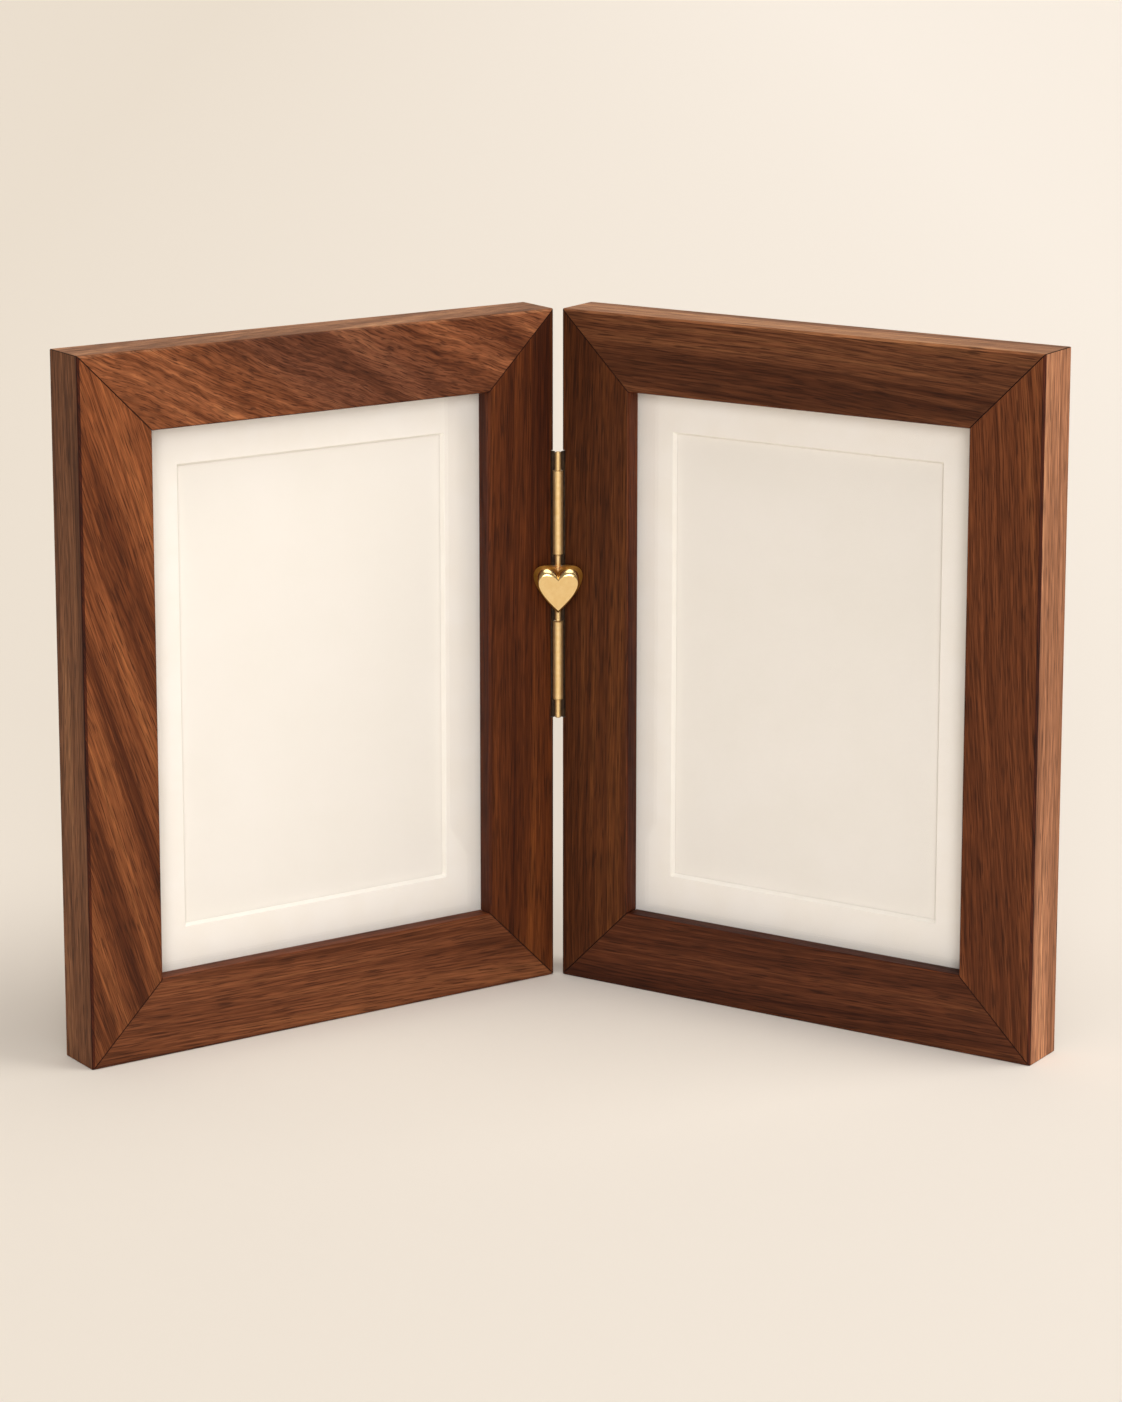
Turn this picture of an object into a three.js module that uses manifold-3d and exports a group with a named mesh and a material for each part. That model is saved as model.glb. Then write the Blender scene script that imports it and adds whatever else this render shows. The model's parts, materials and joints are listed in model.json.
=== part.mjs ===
// Swivel double photo frame: two mitred walnut frames that turn on one ornamental brass hinge.
// Millimetres, +Z up. The frames stand in a V that opens towards -Y, with the hinge at its root.
// The origin is the middle of the object's footprint, on the surface that it stands on.
import * as THREE from "three";
import { mergeVertices } from "three/addons/utils/BufferGeometryUtils.js";
import Module from "manifold-3d";

// Sheets: a 5 x 7 inch pane and mat, with the mat cut for a 4 x 6 inch print
const SHEET_W = 127;
const SHEET_H = 178;
const PRINT_SIDE = 12.5; // from the sheet's sides to the print's
const PRINT_END = 13; // from the sheet's ends to the print's
const PRINT_LAP = 3.5; // how far the mat covers each edge of the print
const GLASS_T = 2;
const MAT_T = 1.4;
const PRINT_T = 0.4;
const BACKING_T = 3;

// Walnut rails
const RAIL_FACE = 25;
const RAIL_DEPTH = 18;
const LIP_LAP = 3; // how far the front lip covers each edge of the pane
const LIP_DEPTH = 5.8;
const EDGE_EASE = 0.8; // radius of the sanded long edges
const MITRE_GAP = 0.3;

// How the two frames stand
const OPEN_ANGLE = 113; // between the two front faces, as shown
const STOP_ANGLE = 109; // where the heart stops the frames from closing further

// Hinge
const LOWER_KNUCKLE_Z = 93.9; // foot of the lower knuckle above the table
const LOWER_KNUCKLE_L = 26;
const UPPER_KNUCKLE_L = 27.5;
const KNUCKLE_SPACING = 22.1; // free height between the knuckles, which the heart fills
const KNUCKLE_R = 1.65;
const AXIS_TO_SIDE = 0.3; // half of the gap that is left when the frames lie flat
const LEAF_T = 1;
const LEAF_REACH = 12; // how deep the leaf runs back from the front face
const PIN_R = 0.6;
const PIN_HEAD_R = 1;
const PIN_HEAD_L = 6;
const PIN_GRIP = 5; // length of each pin that is pressed into the heart

// Heart
const HEART_W = 15.8;
const HEART_H = 15.2;
const HEART_NOTCH = 2.1; // depth of the notch below the top of the lobes
const HEART_SHOULDER = 3; // how far the widest place lies below the top of the lobes
const HEART_FLAT_W = 12.9; // width of the flat front
const HEART_RISE = 2.7; // from the widest outline to the flat front
const HEART_BACK = 1.2; // from the pin's axis to the back of the heart
const HEART_KEEL_W = 2.4; // width of the heart's back, in the root of the V
const HEART_KEEL_H = 11.5;

// Handles of the heart outline's curves, as shares of its half width and half height
const NOTCH_HANDLE = [0.2, 1.16];
const LOBE_HANDLE = [1, 1.22];
const FLANK_HANDLE = [1, 0.1];
const TIP_HANDLE = [0.42, -0.55];

// Fasteners
const LEAF_SCREW_L = 10;
const LEAF_SCREW_R = 1;
const LEAF_SCREW_HEAD_R = 1.9;
const LEAF_SCREW_INSET = 11; // from each end of the leaf to its outer screws
const BUTTON_T = 0.9;
const BUTTON_R = 4;
const BUTTON_TIP_R = 3;
const BUTTON_ARM = 12.5; // from the pivot to the tip
const BUTTON_LAP = 4.5; // how far the tip reaches over the backing board
const BUTTON_SCREW_L = 9;
const BUTTON_SCREW_R = 1.2;
const BUTTON_SCREW_HEAD_R = 2.5;
const BUTTON_SCREW_HEAD_H = 1.5;
const BUTTON_SCREW_EDGE_DROP = 0.75; // from the top of the head down to its straight edge
const BUTTON_SCREW_CROWN_DROP = 0.15; // from the top of the head down to the crown's ring
const BUTTON_SCREW_CROWN_IN = 0.75; // from the head's rim in to the crown's ring
const SLOT_W = 0.6; // screwdriver slots
const SLOT_DEPTH = 0.5;
const NAIL_INSET = 7; // from the frame's outer faces to the V-nail's corner
const NAIL_LEG = 6;
const NAIL_T = 0.5;
const NAIL_L = 8;

// Clearances
const SHEET_PLAY = 0.6; // beside each sheet in its rebate
const LAYER_GAP = 0.2; // between sheets
const BACK_RECESS = 0.3; // the backing board lies this far inside the rails' backs
const SEAT_GAP = 0.3; // around leaves, screws and nails in the wood
const FACE_CLEAR = 0.25; // from a knuckle to the plane of the front faces
const RUN_PLAY = 0.1; // a pin or screw in what turns on it
const END_PLAY = 0.2; // beside the end of a knuckle
const HEART_CLEAR = 0.4; // from the heart to the front faces at the stop
const PIN_CLEAR = 0.5; // from a pin's head to the leaves beside it

// Facets
const EDGE_STEPS = 3;
const ROUND_STEPS = 24; // pins and knuckles
const FASTENER_STEPS = 12; // screws and turn buttons
const HEART_STEPS = 12;
const FRONT_RINGS = 5;
const BACK_RINGS = 4;
const OVERCUT = 1; // cutters stand this far past the faces they open

// Sizes that follow
const PRINT_W = SHEET_W - 2 * PRINT_SIDE;
const PRINT_H = SHEET_H - 2 * PRINT_END;
const SIGHT_W = SHEET_W - 2 * LIP_LAP;
const SIGHT_H = SHEET_H - 2 * LIP_LAP;
const FRAME_W = SIGHT_W + 2 * RAIL_FACE;
const FRAME_H = SIGHT_H + 2 * RAIL_FACE;
const REBATE = LIP_LAP + SHEET_PLAY;
const AXIS_TO_FACE = KNUCKLE_R + FACE_CLEAR;
const TURN = THREE.MathUtils.degToRad((180 - OPEN_ANGLE) / 2); // each frame's turn out of flat
const CENTRE_X = AXIS_TO_SIDE + FRAME_W / 2;
const CENTRE_Z = FRAME_H / 2;

// Depths from the front face, one behind the other
const GLASS_Y = LIP_DEPTH + LAYER_GAP;
const MAT_Y = GLASS_Y + GLASS_T + LAYER_GAP;
const PRINT_Y = MAT_Y + MAT_T + LAYER_GAP;
const FILLER_Y = PRINT_Y + PRINT_T + LAYER_GAP;
const BACKING_Y = RAIL_DEPTH - BACK_RECESS - BACKING_T;
const FILLER_T = BACKING_Y - LAYER_GAP - FILLER_Y;
const NAIL_Y = RAIL_DEPTH - BACK_RECESS - NAIL_L;
const BUTTON_Y = RAIL_DEPTH + LAYER_GAP;
const BUTTON_HEAD_Y = BUTTON_Y + BUTTON_T + RUN_PLAY;
const BUTTON_IN = RAIL_FACE - REBATE + BUTTON_LAP - BUTTON_ARM; // pivot from the outer face

// Heights along the pins
const LOWER_KNUCKLE_TOP = LOWER_KNUCKLE_Z + LOWER_KNUCKLE_L;
const UPPER_KNUCKLE_Z = LOWER_KNUCKLE_TOP + KNUCKLE_SPACING;
const UPPER_KNUCKLE_TOP = UPPER_KNUCKLE_Z + UPPER_KNUCKLE_L;
const LEAF_Z = LOWER_KNUCKLE_Z - END_PLAY - PIN_HEAD_L;
const LEAF_TOP = UPPER_KNUCKLE_TOP + END_PLAY + PIN_HEAD_L;
const HEART_Z = LOWER_KNUCKLE_TOP + KNUCKLE_SPACING / 2;
const HEART_TOP = HEART_Z + HEART_H / 2;
const HEART_FOOT = HEART_Z - HEART_H / 2;

// Forward distance of the heart's widest outline, clear of both faces at the stop
const STOP_HALF = THREE.MathUtils.degToRad(STOP_ANGLE / 2);
const STOP_REACH = (HEART_W / 2) * Math.cos(STOP_HALF) - AXIS_TO_FACE + HEART_CLEAR;
const HEART_RIM = STOP_REACH / Math.sin(STOP_HALF);

// Distance of the hinge behind the middle of the footprint
const FRONT_Y = AXIS_TO_FACE * Math.cos(TURN) - (AXIS_TO_SIDE + FRAME_W) * Math.sin(TURN);
const REAR_Y = (AXIS_TO_FACE + RAIL_DEPTH) * Math.cos(TURN) - AXIS_TO_SIDE * Math.sin(TURN);
const HINGE_Y = -(FRONT_Y + REAR_Y) / 2;

const wasm = await Module();
wasm.setup();

// A closed geometry as a solid that can be cut and joined
function toSolid(geometry) {
  const bare = geometry.clone();
  bare.deleteAttribute("normal");
  bare.deleteAttribute("uv");
  const merged = mergeVertices(bare);
  return new wasm.Manifold(
    new wasm.Mesh({
      numProp: 3,
      vertProperties: Float32Array.from(merged.attributes.position.array),
      triVerts: Uint32Array.from(merged.index.array),
    }),
  );
}

function toGeometry(solid) {
  const mesh = solid.getMesh();
  const geometry = new THREE.BufferGeometry();
  geometry.setAttribute("position", new THREE.BufferAttribute(mesh.vertProperties, 3));
  geometry.setIndex(new THREE.BufferAttribute(mesh.triVerts, 1));
  geometry.computeVertexNormals();
  return geometry;
}

function carve(geometry, cutters) {
  return toGeometry(cutters.reduce((left, cutter) => left.subtract(toSolid(cutter)), toSolid(geometry)));
}

function join(first, ...others) {
  return toGeometry(others.reduce((whole, other) => whole.add(toSolid(other)), toSolid(first)));
}

function polygon(points) {
  return new THREE.Shape(points.map(([x, y]) => new THREE.Vector2(x, y)));
}

function extrude(shape, depth, curveSegments = FASTENER_STEPS) {
  return new THREE.ExtrudeGeometry(shape, { depth, bevelEnabled: false, curveSegments });
}

// A shape seen from the front, as a slab from depth y back to y + thickness
function slab(shape, y, thickness, curveSegments) {
  return extrude(shape, thickness, curveSegments).rotateX(Math.PI / 2).translate(0, y + thickness, 0);
}

function box(x, y, z, width, depth, height) {
  const geometry = new THREE.BoxGeometry(width, depth, height);
  return geometry.translate(x + width / 2, y + depth / 2, z + height / 2);
}

function upright(radius, z, height) {
  const geometry = new THREE.CylinderGeometry(radius, radius, height, ROUND_STEPS);
  return geometry.rotateX(Math.PI / 2).translate(0, 0, z + height / 2);
}

function turned(points, steps) {
  return new THREE.LatheGeometry(points.map(([r, y]) => new THREE.Vector2(r, y)), steps);
}

function finish(colour, roughness, metalness) {
  return () => new THREE.MeshStandardMaterial({ color: colour, roughness, metalness });
}

const walnut = finish(0x7a4428, 0.45, 0);
const clearGlass = finish(0xe8f0ee, 0.05, 0);
const matBoard = finish(0xf4ece0, 0.9, 0);
const creamPaper = finish(0xefe6d8, 0.85, 0);
const greyCard = finish(0xb9ac98, 0.95, 0);
const hardboard = finish(0x6a4a33, 0.8, 0);
const brass = finish(0xe0b56e, 0.25, 1);
const steel = finish(0xb8b6b0, 0.35, 1);

function piece(name, geometry, material) {
  const mesh = new THREE.Mesh(geometry, material());
  mesh.name = name;
  return mesh;
}

// The four rails as quarter turns about the frame's middle, each with its outer face down at turn 0
const RAILS = [
  { name: "bottom_rail", side: "bottom", turn: 0, length: FRAME_W, reach: FRAME_H / 2 },
  { name: "outer_stile", side: "outer", turn: -Math.PI / 2, length: FRAME_H, reach: FRAME_W / 2 },
  { name: "top_rail", side: "top", turn: Math.PI, length: FRAME_W, reach: FRAME_H / 2 },
  { name: "hinge_stile", side: "hinge", turn: Math.PI / 2, length: FRAME_H, reach: FRAME_W / 2 },
];

// The four corners, each with its inward directions along +X and +Z at turn 0
const CORNERS = [
  { name: "bottom_hinge", turn: 0, x: -FRAME_W / 2, z: -FRAME_H / 2 },
  { name: "bottom_outer", turn: -Math.PI / 2, x: FRAME_W / 2, z: -FRAME_H / 2 },
  { name: "top_outer", turn: Math.PI, x: FRAME_W / 2, z: FRAME_H / 2 },
  { name: "top_hinge", turn: Math.PI / 2, x: -FRAME_W / 2, z: FRAME_H / 2 },
];

// Rail section: x runs from the outer face to the sight edge, y from the front to the back
function railSection() {
  const section = new THREE.Shape();
  const right = Math.PI / 2;
  section.moveTo(0, EDGE_EASE);
  section.absarc(EDGE_EASE, EDGE_EASE, EDGE_EASE, Math.PI, 3 * right, false);
  section.absarc(RAIL_FACE - EDGE_EASE, EDGE_EASE, EDGE_EASE, 3 * right, 4 * right, false);
  section.lineTo(RAIL_FACE, LIP_DEPTH);
  section.lineTo(RAIL_FACE - REBATE, LIP_DEPTH);
  section.lineTo(RAIL_FACE - REBATE, RAIL_DEPTH);
  section.absarc(EDGE_EASE, RAIL_DEPTH - EDGE_EASE, EDGE_EASE, right, 2 * right, false);
  section.closePath();
  return section;
}

// A mitred rail along X, outer face on z = 0 and front on y = 0
function mitredRail(length) {
  const bar = extrude(railSection(), length, EDGE_STEPS).rotateY(-Math.PI / 2).translate(length / 2, 0, 0);
  const slack = MITRE_GAP / Math.SQRT2;
  const foot = length / 2 - slack + OVERCUT;
  const head = length / 2 - slack - RAIL_FACE - OVERCUT;
  const trapezium = polygon([
    [-foot, -OVERCUT],
    [foot, -OVERCUT],
    [head, RAIL_FACE + OVERCUT],
    [-head, RAIL_FACE + OVERCUT],
  ]);
  const room = slab(trapezium, -OVERCUT, RAIL_DEPTH + 2 * OVERCUT);
  return toGeometry(toSolid(bar).intersect(toSolid(room)));
}

// The group that holds what sits on one rail, outer face on z = 0
function railGroup(rail) {
  const turn = new THREE.Group();
  turn.position.set(CENTRE_X, AXIS_TO_FACE, CENTRE_Z);
  turn.rotation.y = rail.turn;
  const seat = new THREE.Group();
  seat.position.z = -rail.reach;
  turn.add(seat);
  return { turn, seat };
}

function cornerGroup(corner) {
  const group = new THREE.Group();
  group.position.set(CENTRE_X + corner.x, AXIS_TO_FACE, CENTRE_Z + corner.z);
  group.rotation.y = corner.turn;
  return group;
}

// A cutter moved from a rail's or corner's own place into the frame's
function inFrame(geometry, object) {
  object.updateWorldMatrix(true, false);
  return geometry.clone().applyMatrix4(object.matrixWorld);
}

// An L-shaped strip driven in from the back, with one leg in each rail
function nailOutline(gap) {
  const near = NAIL_INSET - gap;
  const inner = NAIL_INSET + NAIL_T + gap;
  const far = NAIL_INSET + NAIL_LEG + gap;
  return polygon([
    [near, near],
    [far, near],
    [far, inner],
    [inner, inner],
    [inner, far],
    [near, far],
  ]);
}

function vNail() {
  return slab(nailOutline(0), NAIL_Y, NAIL_L);
}

function nailSlot() {
  const y = NAIL_Y - SEAT_GAP;
  return slab(nailOutline(SEAT_GAP), y, RAIL_DEPTH + OVERCUT - y);
}

// Pan-head screw along Y, the underside of its head on y = 0
function buttonScrew() {
  const profile = [
    [0, -BUTTON_SCREW_L],
    [BUTTON_SCREW_R, 2 * BUTTON_SCREW_R - BUTTON_SCREW_L],
    [BUTTON_SCREW_R, 0],
    [BUTTON_SCREW_HEAD_R, 0],
    [BUTTON_SCREW_HEAD_R, BUTTON_SCREW_HEAD_H - BUTTON_SCREW_EDGE_DROP],
    [BUTTON_SCREW_HEAD_R - BUTTON_SCREW_CROWN_IN, BUTTON_SCREW_HEAD_H - BUTTON_SCREW_CROWN_DROP],
    [0, BUTTON_SCREW_HEAD_H],
  ];
  return carve(turned(profile, FASTENER_STEPS), [slot(BUTTON_SCREW_HEAD_R, BUTTON_SCREW_HEAD_H)]);
}

function slot(headRadius, top) {
  const length = 2 * (headRadius + OVERCUT);
  return box(-length / 2, top - SLOT_DEPTH, -SLOT_W / 2, length, SLOT_DEPTH + OVERCUT, SLOT_W);
}

// Countersunk screw along Y, the top of its head on y = 0
function leafScrewProfile(gap) {
  const cone = LEAF_SCREW_HEAD_R - LEAF_SCREW_R;
  return [
    [0, -LEAF_SCREW_L - gap],
    [LEAF_SCREW_R + gap, 2 * LEAF_SCREW_R - LEAF_SCREW_L - gap],
    [LEAF_SCREW_R + gap, -cone],
    [LEAF_SCREW_HEAD_R + gap, 0],
  ];
}

function leafScrew() {
  return carve(turned([...leafScrewProfile(0), [0, 0]], FASTENER_STEPS), [slot(LEAF_SCREW_HEAD_R, 0)]);
}

function leafScrewHole() {
  const mouth = LEAF_SCREW_HEAD_R + SEAT_GAP;
  return turned([...leafScrewProfile(SEAT_GAP), [mouth, OVERCUT], [0, OVERCUT]], FASTENER_STEPS);
}

// Flat turn button around its pivot, with its arm towards +Z
function turnButton() {
  const reach = BUTTON_ARM - BUTTON_TIP_R;
  const lean = Math.acos((BUTTON_R - BUTTON_TIP_R) / reach);
  const up = Math.PI / 2;
  const outline = new THREE.Shape();
  outline.absarc(0, 0, BUTTON_R, up + lean, up - lean + 2 * Math.PI, false);
  outline.absarc(0, reach, BUTTON_TIP_R, up - lean, up + lean, false);
  outline.closePath();
  const hole = new THREE.Path();
  hole.absarc(0, 0, BUTTON_SCREW_R + RUN_PLAY, 0, 2 * Math.PI, true);
  outline.holes.push(hole);
  return slab(outline, BUTTON_Y, BUTTON_T, FASTENER_STEPS);
}

// A sheet in the rebate, or one that lies centred behind it
function sheet(width, height, y, thickness) {
  return box(CENTRE_X - width / 2, AXIS_TO_FACE + y, CENTRE_Z - height / 2, width, thickness, height);
}

// The mat's window is cut at 45 degrees and opens towards the front
function mat() {
  const width = PRINT_W - 2 * PRINT_LAP;
  const height = PRINT_H - 2 * PRINT_LAP;
  const depth = MAT_T + 2 * OVERCUT;
  const window = new THREE.BoxGeometry(width, depth, height);
  const place = window.attributes.position;
  for (let i = 0; i < place.count; i += 1) {
    const spread = place.getY(i) < 0 ? MAT_T + OVERCUT : -OVERCUT;
    place.setX(i, place.getX(i) + Math.sign(place.getX(i)) * spread);
    place.setZ(i, place.getZ(i) + Math.sign(place.getZ(i)) * spread);
  }
  window.translate(CENTRE_X, AXIS_TO_FACE + MAT_Y + MAT_T / 2, CENTRE_Z);
  return carve(sheet(SHEET_W, SHEET_H, MAT_Y, MAT_T), [window]);
}

// Where the leaf's front edge runs from each height up: beside the pins' heads and necks it comes close
// to the axis, it stands back at the heart and the other knuckle, and it runs into its own knuckle
function leafFront(ownKnuckle) {
  const beside = Math.sqrt((PIN_HEAD_R + PIN_CLEAR) ** 2 - AXIS_TO_SIDE ** 2);
  const own = { front: 0, play: 0 };
  const other = { front: AXIS_TO_FACE, play: END_PLAY };
  const lower = ownKnuckle === "lower" ? own : other;
  const upper = ownKnuckle === "upper" ? own : other;
  return [
    [LEAF_Z, beside],
    [LOWER_KNUCKLE_Z - lower.play, lower.front],
    [LOWER_KNUCKLE_TOP + lower.play, beside],
    [HEART_FOOT - HEART_CLEAR, AXIS_TO_FACE],
    [HEART_TOP + HEART_CLEAR, beside],
    [UPPER_KNUCKLE_Z - upper.play, upper.front],
    [UPPER_KNUCKLE_TOP + upper.play, beside],
  ];
}

// Hinge leaf with its knuckle: a plate let into the stile's side and a barrel round the axis
function hingeLeaf(ownKnuckle, screwHoles) {
  const steps = leafFront(ownKnuckle);
  const back = AXIS_TO_FACE + LEAF_REACH;
  const outline = [
    [back, LEAF_TOP],
    [back, LEAF_Z],
  ];
  steps.forEach(([z, front], i) => {
    const top = i + 1 < steps.length ? steps[i + 1][0] : LEAF_TOP;
    outline.push([front, z], [front, top]);
  });
  const plate = extrude(polygon(outline), LEAF_T).rotateX(Math.PI / 2).rotateZ(Math.PI / 2);
  plate.translate(AXIS_TO_SIDE, 0, 0);
  const isLower = ownKnuckle === "lower";
  const foot = isLower ? LOWER_KNUCKLE_Z : UPPER_KNUCKLE_Z;
  const length = isLower ? LOWER_KNUCKLE_L : UPPER_KNUCKLE_L;
  const bore = upright(PIN_R + RUN_PLAY, foot - OVERCUT, length + 2 * OVERCUT);
  return carve(join(plate, upright(KNUCKLE_R, foot, length)), [bore, ...screwHoles]);
}

// Mortise for the leaf, open towards the hinge and the front
function leafMortise() {
  const width = LEAF_T + SEAT_GAP + OVERCUT;
  const depth = LEAF_REACH + SEAT_GAP + OVERCUT;
  const height = LEAF_TOP - LEAF_Z + 2 * SEAT_GAP;
  return box(AXIS_TO_SIDE - OVERCUT, AXIS_TO_FACE - OVERCUT, LEAF_Z - SEAT_GAP, width, depth, height);
}

// One frame in its own place: the hinge axis is its Z axis, its width runs along +X and its back is +Y
function frame(side, ownKnuckle) {
  const group = new THREE.Group();
  const leafScrewPlaces = [
    ["lower", LEAF_Z + LEAF_SCREW_INSET],
    ["middle", (LEAF_Z + LEAF_TOP) / 2],
    ["upper", LEAF_TOP - LEAF_SCREW_INSET],
  ];
  const leafScrewY = AXIS_TO_FACE + LEAF_REACH / 2;
  const screwHoles = leafScrewPlaces.map(([, z]) =>
    leafScrewHole().rotateZ(Math.PI / 2).translate(AXIS_TO_SIDE + RUN_PLAY, leafScrewY, z),
  );
  const nailSlots = CORNERS.map((corner) => inFrame(nailSlot(), cornerGroup(corner)));
  const pilot = new THREE.CylinderGeometry(
    BUTTON_SCREW_R + SEAT_GAP,
    BUTTON_SCREW_R + SEAT_GAP,
    BUTTON_SCREW_L + SEAT_GAP,
    FASTENER_STEPS,
  );
  pilot.translate(0, BUTTON_HEAD_Y - (BUTTON_SCREW_L + SEAT_GAP) / 2, BUTTON_IN);

  for (const rail of RAILS) {
    const { turn, seat } = railGroup(rail);
    const cutters = [...nailSlots, inFrame(pilot, seat)];
    if (rail.side === "hinge") {
      cutters.push(leafMortise(), ...screwHoles);
    }
    const wood = carve(inFrame(mitredRail(rail.length), seat), cutters);
    group.add(piece(`${side}_${rail.name}`, wood, walnut));
    const button = piece(`${side}_turn_button_${rail.side}`, turnButton(), brass);
    button.position.z = BUTTON_IN;
    const screw = piece(`${side}_button_screw_${rail.side}`, buttonScrew(), steel);
    screw.position.set(0, BUTTON_HEAD_Y, BUTTON_IN);
    seat.add(button, screw);
    group.add(turn);
  }

  for (const corner of CORNERS) {
    const place = cornerGroup(corner);
    place.add(piece(`${side}_v_nail_${corner.name}`, vNail(), steel));
    group.add(place);
  }

  group.add(
    piece(`${side}_glazing`, sheet(SHEET_W, SHEET_H, GLASS_Y, GLASS_T), clearGlass),
    piece(`${side}_mat`, mat(), matBoard),
    piece(`${side}_print_insert`, sheet(PRINT_W, PRINT_H, PRINT_Y, PRINT_T), creamPaper),
    piece(`${side}_filler_card`, sheet(SHEET_W, SHEET_H, FILLER_Y, FILLER_T), greyCard),
    piece(`${side}_backing_board`, sheet(SHEET_W, SHEET_H, BACKING_Y, BACKING_T), hardboard),
    piece(`${side}_hinge_leaf`, hingeLeaf(ownKnuckle, screwHoles), brass),
  );

  for (const [name, z] of leafScrewPlaces) {
    const screw = piece(`${side}_leaf_screw_${name}`, leafScrew(), brass);
    screw.rotation.z = Math.PI / 2;
    screw.position.set(AXIS_TO_SIDE + RUN_PLAY, leafScrewY, z);
    group.add(screw);
  }
  return group;
}

// Heart outline about its middle, anticlockwise from the notch over the left lobe to the tip and back
function heartOutline() {
  const top = HEART_H / 2;
  const half = HEART_W / 2;
  const handle = ([across, up]) => new THREE.Vector2(-half * across, top * up);
  const notch = new THREE.Vector2(0, top - HEART_NOTCH);
  const shoulder = new THREE.Vector2(-half, top - HEART_SHOULDER);
  const tip = new THREE.Vector2(0, -top);
  const lobe = new THREE.CubicBezierCurve(notch, handle(NOTCH_HANDLE), handle(LOBE_HANDLE), shoulder);
  const flank = new THREE.CubicBezierCurve(shoulder, handle(FLANK_HANDLE), handle(TIP_HANDLE), tip);
  const left = [...lobe.getPoints(HEART_STEPS), ...flank.getPoints(HEART_STEPS).slice(1)];
  const right = left.slice(1, -1).reverse();
  return [...left, ...right.map((p) => new THREE.Vector2(-p.x, p.y))];
}

// Rings of the heart from the keel at its back to its flat front: forward place, width and height share
function heartRings() {
  const rings = [];
  const keelWidth = HEART_KEEL_W / HEART_W;
  const keelHeight = HEART_KEEL_H / HEART_H;
  for (let i = 0; i < BACK_RINGS; i += 1) {
    const t = i / BACK_RINGS;
    const rise = Math.sqrt(1 - (1 - t) ** 2);
    rings.push([
      THREE.MathUtils.lerp(-HEART_BACK, HEART_RIM, t),
      THREE.MathUtils.lerp(keelWidth, 1, t),
      THREE.MathUtils.lerp(keelHeight, 1, rise),
    ]);
  }
  const flat = HEART_FLAT_W / HEART_W;
  for (let i = 0; i <= FRONT_RINGS; i += 1) {
    const angle = (i / FRONT_RINGS) * (Math.PI / 2);
    const share = flat + (1 - flat) * Math.cos(angle);
    rings.push([HEART_RIM + HEART_RISE * Math.sin(angle), share, share]);
  }
  return rings;
}

function heartBody() {
  const outline = heartOutline();
  const count = outline.length;
  const rings = heartRings();
  const points = [];
  for (const [forward, width, height] of rings) {
    outline.forEach((p) => points.push(p.x * width, -forward, HEART_Z + p.y * height));
  }
  const faces = [];
  for (let ring = 0; ring + 1 < rings.length; ring += 1) {
    for (let i = 0; i < count; i += 1) {
      const [a, b] = [ring * count + i, ring * count + ((i + 1) % count)];
      faces.push(a, b, b + count, a, b + count, a + count);
    }
  }
  const front = (rings.length - 1) * count;
  for (const [a, b, c] of THREE.ShapeUtils.triangulateShape(outline, [])) {
    faces.push(a, c, b, front + a, front + b, front + c);
  }
  const geometry = new THREE.BufferGeometry();
  geometry.setAttribute("position", new THREE.Float32BufferAttribute(points, 3));
  geometry.setIndex(faces);
  return geometry;
}

// The heart with a round neck up to each knuckle, bored from both ends for the pins
function hingeHeart() {
  const foot = LOWER_KNUCKLE_TOP + END_PLAY;
  const head = UPPER_KNUCKLE_Z - END_PLAY;
  const depth = PIN_GRIP + RUN_PLAY + OVERCUT;
  const bores = [foot - OVERCUT, head + OVERCUT - depth].map((z) => upright(PIN_R + RUN_PLAY, z, depth));
  return carve(join(heartBody(), upright(PIN_HEAD_R, foot, head - foot)), bores);
}

// A headed pin along +Z: its head outside the knuckle, its shank through it and into the heart
function hingePin(knuckleLength) {
  const shank = knuckleLength + 2 * END_PLAY + PIN_GRIP;
  const profile = [
    [0, -shank],
    [PIN_R, -shank],
    [PIN_R, 0],
    [PIN_HEAD_R, 0],
    [PIN_HEAD_R, PIN_HEAD_L],
    [0, PIN_HEAD_L],
  ];
  return turned(profile, ROUND_STEPS).rotateX(Math.PI / 2);
}

function hinge() {
  const group = new THREE.Group();
  const upper = piece("upper_hinge_pin", hingePin(UPPER_KNUCKLE_L), brass);
  upper.position.z = UPPER_KNUCKLE_TOP + END_PLAY;
  const lower = piece("lower_hinge_pin", hingePin(LOWER_KNUCKLE_L), brass);
  lower.position.z = LOWER_KNUCKLE_Z - END_PLAY;
  lower.rotation.x = Math.PI;
  group.add(piece("hinge_heart", hingeHeart(), brass), upper, lower);
  return group;
}

// The right frame turns towards the viewer, and the left one is its mirror image
const right = frame("right", "lower");
right.rotation.z = -TURN;
const left = frame("left", "upper");
left.rotation.z = TURN;
left.scale.x = -1;

const doubleFrame = new THREE.Group();
doubleFrame.name = "swivel_double_photo_frame";
doubleFrame.position.y = HINGE_Y;
doubleFrame.add(left, right, hinge());

export default doubleFrame;
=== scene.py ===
# %% [markdown]
# # A swivel double photo frame
# Two mitred walnut frames stand in a V and turn on one slim brass hinge with a polished heart in its
# middle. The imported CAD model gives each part's place, size and motion. This lesson rebuilds the parts as
# finer meshes in the same places, gives each one the finish of its real material, and lights them softly.

# %% Load the CAD model
import json
import math

import bmesh
import bpy
from mathutils import Matrix, Vector
from mathutils.geometry import interpolate_bezier


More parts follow.
